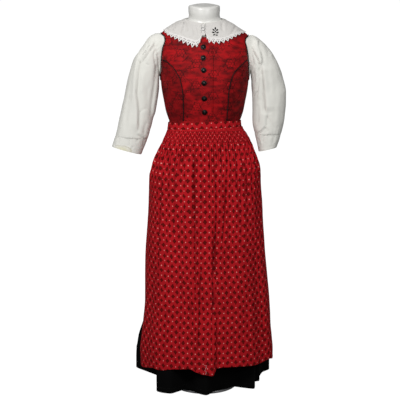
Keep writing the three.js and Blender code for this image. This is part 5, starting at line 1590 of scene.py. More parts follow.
cuff_hold = {}
for tag, side, tab, ctab in (("r", -1, SLEEVE_R, CUFF_R), ("l", 1, SLEEVE_L, CUFF_L)):
    steps = 144
    R0 = sleeve_rings(tab, side, steps, True)
    K = len(R0)
    vv = np.concatenate([np.linspace(0, 1, 7), np.linspace(1, 2, 9)[1:], np.linspace(2, K - 1, 122)[1:]])
    P = table_row(R0.reshape(K, -1), vv).reshape(len(vv), steps, 3)
    N = tube_normals(P)
    V_ = vv[:, None]
    run = np.concatenate([[0], np.cumsum(np.linalg.norm(np.diff(P.mean(1), axis=0), axis=1))])
    ang = np.arange(steps)[None] / steps * 2 * math.pi
    body = smooth(1.2, 2.6, V_)
    relief = fold_relief(P, N, SLEEVE_FOLDS[tag]["front"]) + fold_relief(P, N, SLEEVE_FOLDS[tag]["back"], False)
    spx, spy = to_frame(P)
    facing = smooth(0.25, -0.15, N[..., 1])
    over = sum(fold_over(spx, spy, ln, dp, hi, 0.85, rc) for ln, dp, hi, rc in SLEEVE_OVER[tag]) * facing
    relief = (relief * 1.5 + over * 1.7) * body * (1 - 0.5 * smooth(K - 1.2, K - 1, V_))
    # gathers at the head and into the cuff seam, uneven in width and depth
    phase = ang * 26 + 2.2 * noise1(np.broadcast_to(ang * 30, P.shape[:2]), 9, 31 + side)
    head = 0.9 * (np.cos(phase) * 0.5 + 0.5) * smooth(1.0, 1.5, V_) * (1 - smooth(2.2, 3.6, V_)) * (0.55 + 0.45 * noise1(np.broadcast_to(ang * 30, P.shape[:2]), 14, 33))
    phase2 = ang * 22 + 2.4 * noise1(np.broadcast_to(ang * 30, P.shape[:2]), 11, 41 + side)
    foot = 0.8 * (np.cos(phase2) * 0.5 + 0.5) * smooth(K - 1.9, K - 1.15, V_) * (0.5 + 0.5 * noise1(np.broadcast_to(ang * 30, P.shape[:2]), 12, 43))
    soft = 1.9 * noise(P, (34, 34, 95), 51 + side) + 0.9 * noise(P, (15, 15, 46), 53 + side) + 0.3 * noise(P, (7, 7, 16), 55)
    relief = relief + (head + foot) + soft * body * 0.9
    o = P + N * relief[..., None]
    # the lower end is eased into the cuff: it turns in and runs on a little inside it
    tail = []
    dn = unit(o[-1] - o[-3])
    mid = o[-1].mean(0)
    inward = unit(mid - o[-1])
    for dist, into in ((1.2, 0.25), (2.6, 0.9), (5.0, 1.6)):
        tail.append(o[-1] + dn * dist + inward * into)
    o = np.concatenate([o, np.array(tail)])
    run2 = np.concatenate([run, run[-1] + np.array([1.2, 2.6, 5.0])])
    No = tube_normals(o)
    i = o - No * SLEEVE_WALL
    width = 370.0
    uv = np.stack(np.broadcast_arrays((np.arange(steps + 1) / steps * width)[None], -run2[:, None]), -1)
    piece(grid_sheet("blouse_sleeve_" + tag, o, i, uv, [M_COTTON, M_COTTON_IN], closed=True), "blouse_white", "blouse_sleeve_" + tag)

    # cuff: a plain band with a stitched hem below
    C0 = sleeve_rings(ctab, side, steps, False)
    vv = np.linspace(0, len(C0) - 1, 32)
    P = table_row(C0.reshape(len(C0), -1), vv).reshape(len(vv), steps, 3)
    N = tube_normals(P)
    if tag == "l":
        stain = None
    t = (vv / (len(C0) - 1))[:, None]
    length = np.linalg.norm(np.diff(P, axis=0), axis=2).sum(0).mean()
    from_hem = (1 - t) * length
    relief = 1.4 * fold_relief(P, N, CUFF_FOLDS[tag]) * smooth(0.0, 0.12, t)
    relief = relief + 0.45 * noise(P, (26, 26, 40), 61 + side) + 0.2 * noise(P, (9, 9, 14), 63)
    relief = relief - 0.5 * np.exp(-((from_hem - 11) / 1.0) ** 2) 
    relief = relief + 0.45 * smooth(13, 10, from_hem) * 1.0
    o = P + N * relief[..., None]
    i = o - N * CUFF_WALL
    run = t[:, 0] * length
    uv = np.stack(np.broadcast_arrays((np.arange(steps + 1) / steps * 300.0)[None], -run[:, None]), -1)
    cuff_hold[tag] = (o, N, run)
    cloth = M_COTTON
    if tag == "r":
        # the worn, yellowed stretch of this hem lies over the front outer edge
        px, py = to_frame(o[-4])
        k = int(np.argmin(np.where(N[-4][:, 1] < 0, np.abs(px - 123.0), 1e9)))
        cloth = cotton_material("cotton_cuff_worn", WHITE, stain=(k / steps * 0.300, -(length - 6) / 1000, 0.026, 0.011))
    piece(grid_sheet("blouse_cuff_" + tag, o, i, uv, [cloth, M_COTTON_IN], closed=True), "blouse_white", "blouse_cuff_" + tag)
    bag = Gather()
    for want in (length - 11,):
        k = int(np.argmin(np.abs(run - want)))
        loopP, loopN = np.concatenate([o[k], o[k][:1]]), np.concatenate([N[k], N[k][:1]])
        stitches(bag, loopP, loopN, 2.4, 0.9, 0.24)
    piece(bag.make("cuff_stitching_" + tag, M_THREAD_W), "blouse_white")


# ------------------------------------------------------------------ bodice panels
def lap(deg):
    return LAP_LIFT * smooth(-13, -3.5, deg)


def edge_dist(P):
    """Distance (mm) of each grid point from the panel's first column, last column, bottom row and top row."""
    a = np.concatenate([np.zeros((P.shape[0], 1)), np.cumsum(np.linalg.norm(np.diff(P, axis=1), axis=2), 1)], 1)
    b = np.concatenate([np.zeros((1, P.shape[1])), np.cumsum(np.linalg.norm(np.diff(P, axis=0), axis=2), 0)], 0)
    return a, a[:, -1:] - a, b, b[-1:] - b


BUTTON_PX = [(203.0, 47.8), (203.3, 58.4), (203.7, 70.2), (204.0, 83.5), (204.2, 98.0), (204.8, 111.2)]
BODICE_FOLDS = [
    ([(189.5, 54.5), (186.0, 59.0), (181.0, 62.5)], 0.9, 0.8, 0.7),
    ([(196.5, 71.5), (190.0, 74.0), (183.0, 73.5)], 1.1, 0.5, 0.6),
    ([(197.5, 85.0), (191.5, 88.0)], 1.0, 0.45, 0.5),
    ([(198.5, 99.0), (192.0, 101.5), (187.0, 101.0)], 1.1, 0.6, 0.5),
    ([(213.4, 47.5), (213.1, 70), (212.8, 95), (212.5, 122.5)], 0.45, 1.3, 0.35),
    ([(198.0, 112.5), (190.5, 114.5), (184.0, 113.2)], 1.0, 0.7, 0.5),
    ([(178.5, 104.0), (187.0, 107.0), (195.0, 106.2)], 1.0, 0.5, 0.4),
    ([(173.5, 113.5), (181.0, 116.6), (191.0, 117.0)], 1.0, 0.7, 0.5),
    ([(219.5, 77.0), (226.0, 79.5), (232.0, 78.4)], 1.2, 0.6, 0.5),
    ([(218.0, 106.5), (226.0, 110.0), (234.0, 109.0)], 1.1, 0.7, 0.5),
    ([(217.0, 116.0), (226.5, 117.6), (236.0, 114.6)], 1.0, 0.7, 0.5),
    ([(238.0, 101.5), (243.0, 106.0)], 1.0, 0.5, 0.4),
    ([(169.5, 98.0), (166.6, 104.0)], 1.0, 0.5, 0.4),
]


def bodice_relief(P, N):
    px, py = to_frame(P)
    face = smooth(0.1, -0.25, N[..., 1])
    h = np.zeros(px.shape)
    for line, w, dpt, lip in BODICE_FOLDS:
        h += crease(px, py, line, w, dpt, lip) * face
    for bx, by in BUTTON_PX:                           # the cloth is drawn in a little at each button
        d2 = ((px - bx) / 3.4) ** 2 + ((py - by) / 2.2) ** 2
        h -= 0.7 * np.exp(-d2) * face
    for (bx, by), (cx, cy) in zip(BUTTON_PX[:-1], BUTTON_PX[1:]):   # and stands out a little between them
        d2 = ((px - (bx + cx) / 2 - 5.5) / 4.4) ** 2 + ((py - (by + cy) / 2) / 3.2) ** 2
        h += 0.55 * np.exp(-d2) * face
    # back: soft folds across the small of the back
    back = smooth(0.1, 0.5, N[..., 1])
    for z0, x0, s, w in ((1046, -40, 0.22, 5.0), (1062, 38, -0.18, 5.5), (1031, 12, 0.05, 4.5), (1090, -70, 0.3, 6.0), (1120, 66, -0.25, 6.5)):
        h += -0.7 * np.exp(-((P[..., 2] - z0 - s * (P[..., 0] - x0)) / w) ** 2) * np.exp(-((P[..., 0] - x0) / 42) ** 2) * back
    return h + 0.32 * noise(P, (32, 32, 26), 71) + 0.14 * noise(P, (11, 11, 9), 73)


def bodice_panel(rows, cols, sub, flip, gap0=SEAM / 2, gap1=SEAM / 2, lift=None, top_in=4.0, seams=(), edges=(1, 1)):
    deg, lev = panel_params(rows, cols, sub, gap0=gap0, gap1=gap1, waist=True)
    up = lift(deg) if lift is not None else 0.0 * deg
    base = on_figure(deg, lev, BODICE_OUT + up)
    N = figure_normal(deg, lev)
    a, b, lo, hi = edge_dist(base)
    h = bodice_relief(base, N)
    roll = np.zeros(a.shape)
    for d, on in ((a, edges[0]), (b, edges[1])):
        if on:
            roll -= 1.0 * np.exp(-(d / 1.8) ** 2) + 0.35 * np.exp(-((d - 5.0) / 0.9) ** 2)
    roll -= 0.8 * np.exp(-(hi / 1.5) ** 2) + 0.30 * np.exp(-((hi - top_in) / 0.9) ** 2)
    for at in seams:                                    # seams inside a panel: a narrow valley with rounded shoulders
        sl = at(lev)
        d = (run_of(deg) - run_of(sl))
        roll += -1.0 * np.exp(-(d / 1.3) ** 2) + 0.35 * np.exp(-((np.abs(d) - 3.4) / 1.8) ** 2)
    h = h * smooth(0, 7, a * edges[0] + 9 * (1 - edges[0])) * smooth(0, 7, b * edges[1] + 9 * (1 - edges[1])) * smooth(0, 6, hi)
    o = on_figure(deg, lev, BODICE_OUT + up + h + roll)
    i = on_figure(deg, lev, BODICE_IN + up + 0.7 * h + np.minimum(roll, 0) * 0.25)
    return o, i, cloth_uv(deg, lev, base), flip, (deg, lev, a, b, lo, hi, N)


FR = bodice_panel(seam_rows(FRONT_ROWS, 0.12), 66, 6, False, gap1=0, lift=lap)
FL = bodice_panel(seam_rows(FRONT_LEFT_ROWS, -0.12), 54, 6, True, gap1=0)
SR = bodice_panel(SIDE_FRONT_ROWS, 44, 8, False)
SL = bodice_panel(SIDE_FRONT_LEFT_ROWS, 44, 8, True)


def back_seam(lev):
    return lerp(158.0, 146.0, smooth(4.5, 11.5, lev))


half = seam_rows(BACK_ROWS, 0.12)
BK = [bodice_panel(half, 60, 6, False, gap1=0, seams=(back_seam,), edges=(1, 0)),
      bodice_panel(mirror_rows(half), 60, 6, True, gap1=0, seams=(lambda l: -back_seam(l),), edges=(1, 0))]
for name, parts in (("bodice_front_r", [FR]), ("bodice_front_l", [FL]), ("bodice_side_r", [SR]), ("bodice_side_l", [SL]), ("bodice_back", BK)):
    # the side panels take the darker copy of the damask: painted shade
    piece(weld_sheet(name, [(o, i, uv, flip) for o, i, uv, flip, _ in parts], [M_DAMASK_SHADED_SIDE if "side" in name else M_DAMASK, M_DAMASK_IN]), "brocade_red", name)


def line_at(panel, which, dist, lo=0.0, hi=None):
    """Points and normals of a panel along a line at a set distance from one of its edges (0 first column, 1 last, 2 bottom, 3 top)."""
    o, i, uv, flip, (deg, lev, a, b, low, high, N) = panel
    d = (a, b, low, high)[which]
    P, M = [], []
    if which < 2:
        for r in range(o.shape[0]):
            k = int(np.argmin(np.abs(d[r] - dist)))
            if abs(d[r, k] - dist) > 3:
                continue
            P.append(o[r, k]); M.append(N[r, k])
    else:
        for c in range(o.shape[1]):
            k = int(np.argmin(np.abs(d[:, c] - dist)))
            P.append(o[k, c]); M.append(N[k, c])
    return np.array(P), np.array(M)


bag = Gather()
for panel, which in ((FR, 0), (FR, 1), (FR, 3), (FL, 0), (FL, 3), (SR, 0), (SR, 1), (SL, 0), (SL, 1), (BK[0], 0), (BK[1], 0), (BK[0], 3), (BK[1], 3)):
    P, M = line_at(panel, which, 5.0 if which < 2 else 4.0)
    if len(P) > 3:
        # an even line: the grid's own steps are smoothed out
        for _ in range(3):
            P[1:-1] = (P[:-2] + 2 * P[1:-1] + P[2:]) / 4
        stitches(bag, P + M * 0.12, M, 2.6, 1.2, 0.22)
piece(bag.make("bodice_stitching", M_THREAD_R), "brocade_red")

# buttonholes: worked bars that show past each button, in dark red silk
bag = Gather()
for k, (z0, deg0) in enumerate(BUTTONS):
    for s in (1,):
        x = np.linspace(0.5, 12.6, 9)
        dd_ = deg0 + s * x / 1.9
        lv_ = level_at_height(dd_, np.full(x.shape, float(z0)))
        for dz in (-0.9, 0.9):
            q = on_figure(dd_, lv_, BODICE_OUT + lap(dd_) + 0.15)
            q[:, 2] += dz
            v, f, w = tube_along(q, figure_normal(dd_, lv_), 0.55, False, 6)
            bag.add(v, f, w)
piece(bag.make("buttonholes", M_THREAD_R), "brocade_red")

# ------------------------------------------------------------------ piping
PIPE_OFF = 9.2
for tag, side, rows in (("r", -1, FRONT_ROWS), ("l", 1, FRONT_LEFT_ROWS)):
    v_ = np.linspace(0.4, 8.2, 90)
    q = table_row(rows, v_)[:, :2]
    q = np.concatenate([q, [[side * 72.0, 10.66]]])
    P, M = on_figure(q[:, 0], q[:, 1], PIPE_OFF - 0.3), figure_normal(q[:, 0], q[:, 1])
    P, M = resample(P, 1.8, [M])
    M = unit(M)
    v, f, w = tube_along(P, M, PIPING_R - 0.1, False, 12)
    b1 = Gather(); b1.add(v, f, w)
    piece(b1.make("princess_piping_" + tag, M_PIPING), "piping_black", "princess_piping_" + tag)
    # the armhole's loop
    L_ = armhole_loop(side)
    L_ = np.stack([side * (90 + (L_[:, 0] - 90) * 1.03), 11.5 + (L_[:, 1] - 11.5) * 1.02], 1)
    if side < 0:
        L_ = L_[::-1]
    # round and close it with a smooth curve
    C_ = np.concatenate([L_[-3:], L_, L_[:3]])
    tt = np.linspace(3, 3 + len(L_), 260, endpoint=False)
    i0 = np.floor(tt).astype(int); ft = (tt - i0)[:, None]
    p0, p1, p2, p3 = C_[i0 - 1], C_[i0], C_[np.minimum(i0 + 1, len(C_) - 1)], C_[np.minimum(i0 + 2, len(C_) - 1)]
    Q = 0.5 * ((2 * p1) + (-p0 + p2) * ft + (2 * p0 - 5 * p1 + 4 * p2 - p3) * ft ** 2 + (-p0 + 3 * p1 - 3 * p2 + p3) * ft ** 3)
    P, M = on_figure(Q[:, 0], Q[:, 1], PIPE_OFF - 0.2), figure_normal(Q[:, 0], Q[:, 1])
    v, f, w = tube_along(P, M, PIPING_R - 0.4, True, 12)
    b1 = Gather(); b1.add(v, f, w)
    piece(b1.make("armhole_piping_" + tag, M_PIPING), "piping_black", "armhole_piping_" + tag)

# ------------------------------------------------------------------ buttons
for k, (z0, deg0) in enumerate(BUTTONS):
    lev0 = float(level_at_height(deg0, z0))
    at, nrm = on_figure(deg0, lev0, 10.8), figure_normal(deg0, lev0)
    R_ = BUTTON_D / 2 * 1.08
    turn = 0.7 * k

    def beads(r, a, turn=turn):
        if 0.70 * R_ < r < 0.86 * R_:
            return 0.30 * max(0.0, math.cos(14 * (a + turn)))
        if 0.30 * R_ < r < 0.62 * R_:
            return 0.34 * max(0.0, math.cos(4 * (a + turn)) + 0.2)
        return 0.0

    prof = [(0.3, -0.1), (0.9 * R_, 0), (0.98 * R_, 0.4), (R_, 0.8), (0.985 * R_, 1.3), (0.93 * R_, 1.75), (0.88 * R_, 1.7), (0.82 * R_, 1.8), (0.78 * R_, 1.9), (0.74 * R_, 1.85), (0.69 * R_, 2.1),
            (0.63 * R_, 2.7), (0.56 * R_, 3.2), (0.47 * R_, 3.6), (0.39 * R_, 3.9), (0.31 * R_, 4.1), (0.28 * R_, 4.0)]
    rings = on_normal(prof, at, nrm, 56, bumps=beads)
    piece(ring_stack(f"button_{k + 1}", rings, M_BUTTON, sharp=55), "button_metal", f"button_{k + 1}")
    prof = [(0.02 * R_, 3.2), (0.285 * R_, 3.3), (0.30 * R_, 4.0), (0.285 * R_, 4.45), (0.23 * R_, 4.8), (0.14 * R_, 4.95), (0.03 * R_, 5.0)]
    rings = on_normal(prof, at, nrm, 28)
    piece(ring_stack(f"button_{k + 1}_boss", rings, M_BUTTON_HI, sharp=60), "button_metal")

# ------------------------------------------------------------------ skirt and apron forms
def outline(deg, right, left, front, back, n):
    s, c = np.sin(deg * DEG), np.cos(deg * DEG)
    a, d = np.where(s < 0, right, left), np.where(c > 0, front, back)
    return (np.abs(s / a) ** n + np.abs(c / d) ** n) ** (-1 / n)


def wrap(d):
    return ((np.asarray(d, float) + 180) % 360 + 360) % 360 - 180


def apron_radius(deg, z):
    deg, z = np.broadcast_arrays(np.asarray(deg, float), np.asarray(z, float))
    A_, K_ = table_at(APRON_LINE, z), table_at(SKIRT_LINE, z)
    r = outline(deg, A_[..., 1], A_[..., 2], A_[..., 3], K_[..., 4], 2.25)
    for hem, top_, width, depth, hi, lo in APRON_FOLDS:
        at = lerp(hem, top_, clamp((z - 75) / 860, 0, 1))
        fade = smooth(hi, hi - 260, z) if hi > hi - 260 else 1
        if lo > 75:
            fade = fade * smooth(lo - 120, lo + 60, z)
        r = r + depth * fade * np.exp(-((deg - at) / width) ** 2)
    return r


_HF = np.concatenate([HEM_FOLDS, [[180.0, HEM_FOLDS[0][1]]]])


def skirt_radius(deg, z):
    deg, z = np.broadcast_arrays(wrap(deg), np.asarray(z, float))
    K_ = table_at(SKIRT_LINE, z)
    plain = outline(deg, K_[..., 1], K_[..., 2], K_[..., 3], K_[..., 4], 2.2)
    w = np.minimum(1, FOLD_GAIN * clamp(1 - (z - HEM_Z) / FOLD_REACH, 0, 1) ** FOLD_POWER)
    r = lerp(plain, table_at(_HF, deg)[..., 1], w)
    ed = table_at(APRON_EDGE, np.minimum(z, 985))
    over = np.maximum(deg - ed[..., 2], ed[..., 1] - deg) - 3
    return np.minimum(r, apron_radius(deg, z) - APRON_CLEAR + np.maximum(0, over) * 2.2)


def ring_point(deg, r, z):
    deg, r, z = np.broadcast_arrays(deg, r, z)
    return np.stack([r * np.sin(deg * DEG), -r * np.cos(deg * DEG), z], -1)


# ------------------------------------------------------------------ skirt
SC = 342
sd = -180 + np.arange(SC) / SC * 360
zz = np.concatenate([17 + np.array([0, 2.5, 6, 11, 16, 19, 22, 26]), np.linspace(52, 840, 48), np.linspace(846, 1002, 26)])
Dg, Zg = np.meshgrid(sd, zz)
r = skirt_radius(Dg, Zg)
arc_w = np.concatenate([[0], np.cumsum(np.linalg.norm(np.diff(ring_point(sd, skirt_radius(sd, 960.0), 960.0), axis=0), axis=1))])
AW = np.broadcast_to(arc_w[None], Dg.shape)
ed = table_at(APRON_EDGE, np.minimum(Zg, 985))
outside = smooth(2, 16, np.maximum(Dg - ed[..., 2], ed[..., 1] - Dg))
lim = np.where(Dg < 0, table_at(APRON_LINE, Zg)[..., 1] + 0.5, 1e4) / np.maximum(np.abs(np.sin(Dg * DEG)), 0.3)   # the skirt keeps behind the apron's edge down to where the photo shows it
r = np.minimum(r, lim + np.interp(Zg, [50, 119, 160, 222], [70, 22, 15, 0]))
count = round((arc_w[-1] + 1) / 12.0)
ph = AW / (arc_w[-1] + (arc_w[1] - arc_w[0])) * 2 * math.pi * count + 1.3 * np.sin(AW / 37.0)
unev = 0.6 + 0.4 * noise1(AW, 21, 81)
low_end = 800 + 70 * noise1(AW, 17, 83)
gather = 2.3 * (0.5 + 0.5 * np.cos(ph)) * unev * smooth(low_end, low_end + 110, Zg)
mid = 3.0 * (0.5 + 0.5 * np.cos(ph / 3 + 0.9 * np.sin(AW / 60))) * smooth(560, 760, Zg) * (1 - smooth(860, 950, Zg)) * (0.5 + 0.5 * noise1(AW, 50, 85))
P0 = ring_point(Dg, r, Zg)
soft = 2.2 * noise(P0, (60, 60, 300), 87) + 1.0 * noise(P0, (24, 24, 150), 89) + 0.4 * noise(P0, (10, 10, 50), 90)
rel = (gather + mid) * outside + soft * (0.25 + 0.75 * outside) - 4.0 * (1 - outside) * smooth(96, 130, Zg) * (1 - smooth(930, 975, Zg))
hem_line = -0.7 * np.exp(-((Zg - 17 - 18) / 1.6) ** 2) - 0.8 * np.exp(-((Zg - 17) / 2.5) ** 2)
bump = 3.5 * np.exp(-((wrap(Dg + 90) / 2.8) ** 2 + ((Zg - 805) / 10) ** 2))
rr = r + rel + hem_line + bump
out = ring_point(Dg, rr, Zg)
tuck_o, tuck_i = [], []
for dz, off, wl in ((-3.2, None, 1.6), (-1.2, 6.2, 1.5), (0.6, 4.5, 1.4), (4.0, 4.2, 1.3), (8.0, 4.2, 1.3)):
    z = waist_z(sd) + dz
    if off is None:
        q = ring_point(sd, skirt_radius(sd, z) + 0.25 * gather[-1], z)
    else:
        q = on_figure(sd, level_at_height(sd, z), off)
    tuck_o.append(q)
out = np.concatenate([out, np.array(tuck_o)])
No = normals_of(out, closed=True)
wall = np.full(out.shape[0], SKIRT_WALL); wall[-4:] = (1.5, 1.4, 1.3, 1.3)
No[-4:] = figure_normal(sd[None], level_at_height(sd, waist_z(sd))[None]) * 1.0
inn = out - No * wall[:, None, None]
hem_arc = np.concatenate([[0], np.cumsum(np.linalg.norm(np.diff(np.concatenate([out[3], out[3][:1]]), axis=0), axis=1))])
uv = np.stack(np.broadcast_arrays(hem_arc[None], np.concatenate([[0], np.cumsum(np.linalg.norm(np.diff(out[:, 0], axis=0), axis=1))])[:, None]), -1)
piece(grid_sheet("skirt", out, inn, uv, [M_WOOL, M_WOOL_IN], closed=True), "skirt_black", "skirt")
bag = Gather()
loopP = np.concatenate([out[5], out[5][:1]]); loopN = np.concatenate([No[5], No[5][:1]])
stitches(bag, loopP, loopN, 3.4, 2.2, 0.24)
piece(bag.make("skirt_hem_stitching", M_THREAD_K), "skirt_black")

# ------------------------------------------------------------------ apron panel
FLAT_W = 840.0                                          # width of the cut panel, mm
NC, NR = 280, 122
uu = np.arange(NC + 1) / NC
hd = lerp(-84, 86, uu)
zh = table_at(APRON_HEM, hd)[:, 1]
# rows close together where the gathers are fine
tt = np.concatenate([np.array([0, 0.0022, 0.006, 0.0105, 0.0135, 0.0165, 0.022]), np.linspace(0.03, 0.80, 62), np.linspace(0.80, 1.0, 54)[1:]])
Z = lerp(zh[None], SMOCK_LOW_Z - 0.4, tt[:, None])
ed = table_at(APRON_EDGE, Z)
Dp = lerp(ed[..., 1], ed[..., 2], uu[None])
base_r = apron_radius(Dp, Z)
Pp = ring_point(Dp, base_r, Z)
Np = normals_of(Pp)
px, py = to_frame(Pp)
# arc position at the smocking's edge, which the fine gathers start from
d935 = lerp(*[table_at(APRON_EDGE, SMOCK_LOW_Z)[k] for k in (1, 2)], uu)
arc = np.concatenate([[0], np.cumsum(np.linalg.norm(np.diff(ring_point(d935, apron_radius(d935, SMOCK_LOW_Z), SMOCK_LOW_Z), axis=0), axis=1))])
PITCH_G = 8.7
S_ = np.broadcast_to(arc[None], Z.shape)
jit = 1.9 * noise1(S_, 26, 101) + 1.1 * noise1(S_, 11, 103)
gph = 2 * math.pi * (S_ + jit) / PITCH_G
end = 862 + 55 * noise1(S_, 8.7, 105) + 34 * noise1(S_, 31, 107)
fine = smooth(end - 34, end + 46, Z)
g1 = (0.5 + 0.5 * np.cos(gph)) ** 0.55 * (4.6 + 2.2 * smooth(934, 918, Z)) * fine * (0.72 + 0.28 * noise1(S_, 9, 109))
end2 = 745 + 110 * noise1(S_, 22, 111)
g2 = (0.5 + 0.5 * np.cos(gph / 2.6 + 1.4 * noise1(S_, 40, 113))) ** 0.7 * 7.0 * smooth(end2 - 70, end2 + 90, Z) * (1 - smooth(895, 932, Z)) * (0.65 + 0.35 * noise1(S_, 19, 115))
end3 = 520 + 190 * noise1(S_, 60, 117)
g3 = (0.5 + 0.5 * np.cos(gph / 6.2 + 1.8 * noise1(S_, 80, 119))) ** 0.8 * 6.5 * smooth(end3 - 160, end3 + 160, Z) * (1 - smooth(840, 905, Z)) * (0.6 + 0.4 * noise1(S_, 45, 121))
APRON_CREASES = [
    ([(193.9, 152), (193.6, 175), (193.9, 205), (193.4, 245), (193.9, 285), (193.6, 305)], 1.5, 3.4, 0.5, 0.10),
    ([(215.2, 165), (216.6, 200), (215.8, 240), (214.0, 280), (214.7, 300), (213.2, 330), (213.0, 366)], 1.4, 1.6, 0.4, 0.08),
    ([(201.4, 268), (199.8, 292), (199.2, 318), (198.0, 345), (197.6, 361)], 1.3, 2.0, 0.5, 0.2),
    ([(227.4, 148), (227.0, 172), (226.2, 196), (224.6, 222), (223.0, 248)], 1.4, 2.2, 0.5, 0.15),
    ([(253.2, 205), (254.6, 235), (257.0, 268), (259.2, 300), (261.5, 326), (264.0, 350)], 2.6, 2.4, 0.45, 0.15),
    ([(163.2, 170), (160.5, 200), (158.5, 240), (157.8, 280)], 1.8, 2.0, 0.4, 0.25),
    ([(176.0, 160), (174.6, 190), (173.6, 224), (173.2, 250)], 1.6, 1.5, 0.4, 0.25),
    ([(181.5, 262), (180.5, 300), (178.6, 336), (177.2, 368)], 1.9, 1.4, 0.4, 0.2),
    ([(239.0, 160), (240.5, 190), (241.5, 225), (241.0, 262)], 1.7, 1.8, 0.4, 0.25),
    ([(233.0, 270), (234.0, 310), (235.5, 345), (236.2, 364)], 1.9, 1.5, 0.4, 0.2),
    ([(205.5, 156), (205.9, 182), (206.2, 214)], 1.4, 1.4, 0.4, 0.25),
    ([(165.5, 300), (164.0, 335), (162.5, 368)], 2.0, 1.3, 0.4, 0.2),
    ([(247.5, 300), (249.5, 335), (251.0, 362)], 1.8, 1.3, 0.4, 0.2),
    ([(184.5, 150), (184.2, 172), (184.6, 188)], 1.1, 1.2, 0.4, 0.25),
    ([(220.8, 152), (221.4, 180)], 1.1, 1.2, 0.4, 0.25),
    ([(245.0, 152), (247.4, 180), (249.2, 205)], 1.3, 1.5, 0.4, 0.25),
]
h = np.zeros(Z.shape)
for line, w, dpt, lip, ends in APRON_CREASES:
    h += crease(px, py, line, 0.8 * w, dpt * 2.0, lip, ends)
# the long pleats, where one side lies over the other
APRON_OVER = [
    ([(193.9, 150), (193.6, 175), (193.9, 205), (193.4, 245), (193.9, 285), (193.6, 312)], 4.2, -1, 5.0),
    ([(215.2, 160), (216.6, 200), (215.8, 240), (214.0, 280), (214.7, 300), (213.2, 330), (213.0, 366)], 6.2, 1, 6.0),
    ([(227.4, 148), (227.0, 172), (226.2, 196), (224.6, 222), (223.0, 248)], 3.0, 1, 3.5),
    ([(255.0, 205), (256.4, 235), (258.6, 268), (260.6, 300), (262.5, 326), (264.6, 350)], 3.6, -1, 4.0),
    ([(201.4, 262), (199.8, 292), (199.2, 318), (198.0, 345)], 2.4, -1, 3.5),
    ([(163.2, 170), (160.5, 200), (158.5, 240), (157.8, 280)], 2.6, 1, 3.5),
]
for line, dpt, hi_, reach in APRON_OVER:
    h += fold_over(px, py, line, dpt, hi_, 0.4, reach, 0.08)
soft = 2.4 * noise(Pp, (46, 46, 260), 131) + 1.3 * noise(Pp, (19, 19, 110), 133) + 0.4 * noise(Pp, (9, 9, 26), 135)
top_fade = 1 - smooth(926, 934, Z)
from_hem = Z - zh[None]
hem = 0.55 * smooth(14.0, 11.5, from_hem) - 0.6 * np.exp(-((from_hem - 12.5) / 1.3) ** 2) - 0.7 * np.exp(-(from_hem / 1.8) ** 2)
sa = np.minimum(uu, 1 - uu)[None] * FLAT_W * 0.55
side_hem = -0.5 * np.exp(-((sa - 8.0) / 1.4) ** 2) + 0.35 * smooth(9.5, 7.0, sa)
rel = g1 + g2 + g3 - 1.8 + (h + soft) * (0.35 + 0.65 * top_fade) * (0.35 + 0.65 * smooth(0, 60, from_hem)) + hem + side_hem
floor_at = -2.4 - 2.6 * smooth(96, 140, Z) * (1 - smooth(900, 934, Z))
rel = np.where(rel < floor_at, floor_at + 0.35 * np.tanh((rel - floor_at) / 1.5), rel)
out = Pp + Np * rel[..., None]
inn = out - normals_of(out) * APRON_WALL
keep_in = np.hypot(inn[..., 0], inn[..., 1])
vlen = np.concatenate([np.zeros((1, NC + 1)), np.cumsum(np.linalg.norm(np.diff(Pp, axis=0), axis=2), 0)], 0)
# lie of the cloth: on the ridges it shows at its own width, the rest is taken up in the valleys between them
full = (g1 + g2 + g3) / (4.6 * fine + 5.4 * smooth(end2 - 70, end2 + 90, Z) * (1 - smooth(895, 932, Z)) + 5.0 * smooth(end3 - 160, end3 + 160, Z) * (1 - smooth(840, 905, Z)) + 0.6)
valley = clamp(1 - 1.25 * full, 0, 1) ** 1.5 + 0.06
seg = np.linalg.norm(np.diff(Pp, axis=1), axis=2)
vm = (valley[:, 1:] + valley[:, :-1]) / 2
take = (FLAT_W - seg.sum(1)) / (seg * vm).sum(1)
lie = np.concatenate([np.zeros((Z.shape[0], 1)), np.cumsum(seg * (1 + take[:, None] * vm), 1)], 1) - FLAT_W / 2
lie = lie - lie[:, NC // 2:NC // 2 + 1] * smooth(0, 1, tt)[:, None] * 0.5
uv = np.stack([lie, vlen - vlen[-1:]], -1)
apron_out, apron_N, apron_from_hem, apron_vlen = out, normals_of(out), from_hem, vlen
piece(grid_sheet("apron_panel", out, inn, uv, [M_PRINT, M_PRINT_IN]), "apron_print", "apron_panel")
bag = Gather()
k = int(np.argmin(np.abs(tt - 0.0135)))
stitches(bag, out[k], apron_N[k], 3.0, 1.3, 0.24)
for c in (4, NC - 4):
    stitches(bag, out[:, c], apron_N[:, c], 3.0, 1.3, 0.24)
piece(bag.make("apron_stitching", M_THREAD_R), "apron_print")
# the pale thread that has worked loose at the hem
def apron_spot(x, y, lift):
    ax, ay = to_frame(apron_out)
    k = int(np.argmin(np.hypot(ax - x, ay - y)))
    r0, c0 = np.unravel_index(k, ax.shape)
    return apron_out[r0, c0] + apron_N[r0, c0] * lift, apron_N[r0, c0]
pts, ns = zip(*[apron_spot(x, y, lf) for x, y, lf in ((204.3, 366.6, 0.2), (205.8, 365.2, 1.0), (206.6, 366.6, 1.4), (205.4, 368.6, 1.3), (205.0, 370.4, 1.2), (206.5, 372.0, 1.2), (205.8, 373.6, 0.9), (204.8, 374.8, 0.6))])
pts, ns = np.array(pts), np.array(ns)
tq = np.linspace(0, len(pts) - 1, 60)
Pq, Nq = table_row(pts, tq), unit(table_row(ns, tq))
v, f, w = tube_along(Pq, Nq, 0.55, False, 6)
bag = Gather(); bag.add(v, f, w)
piece(bag.make("loose_thread", M_THREAD_P), "apron_print")

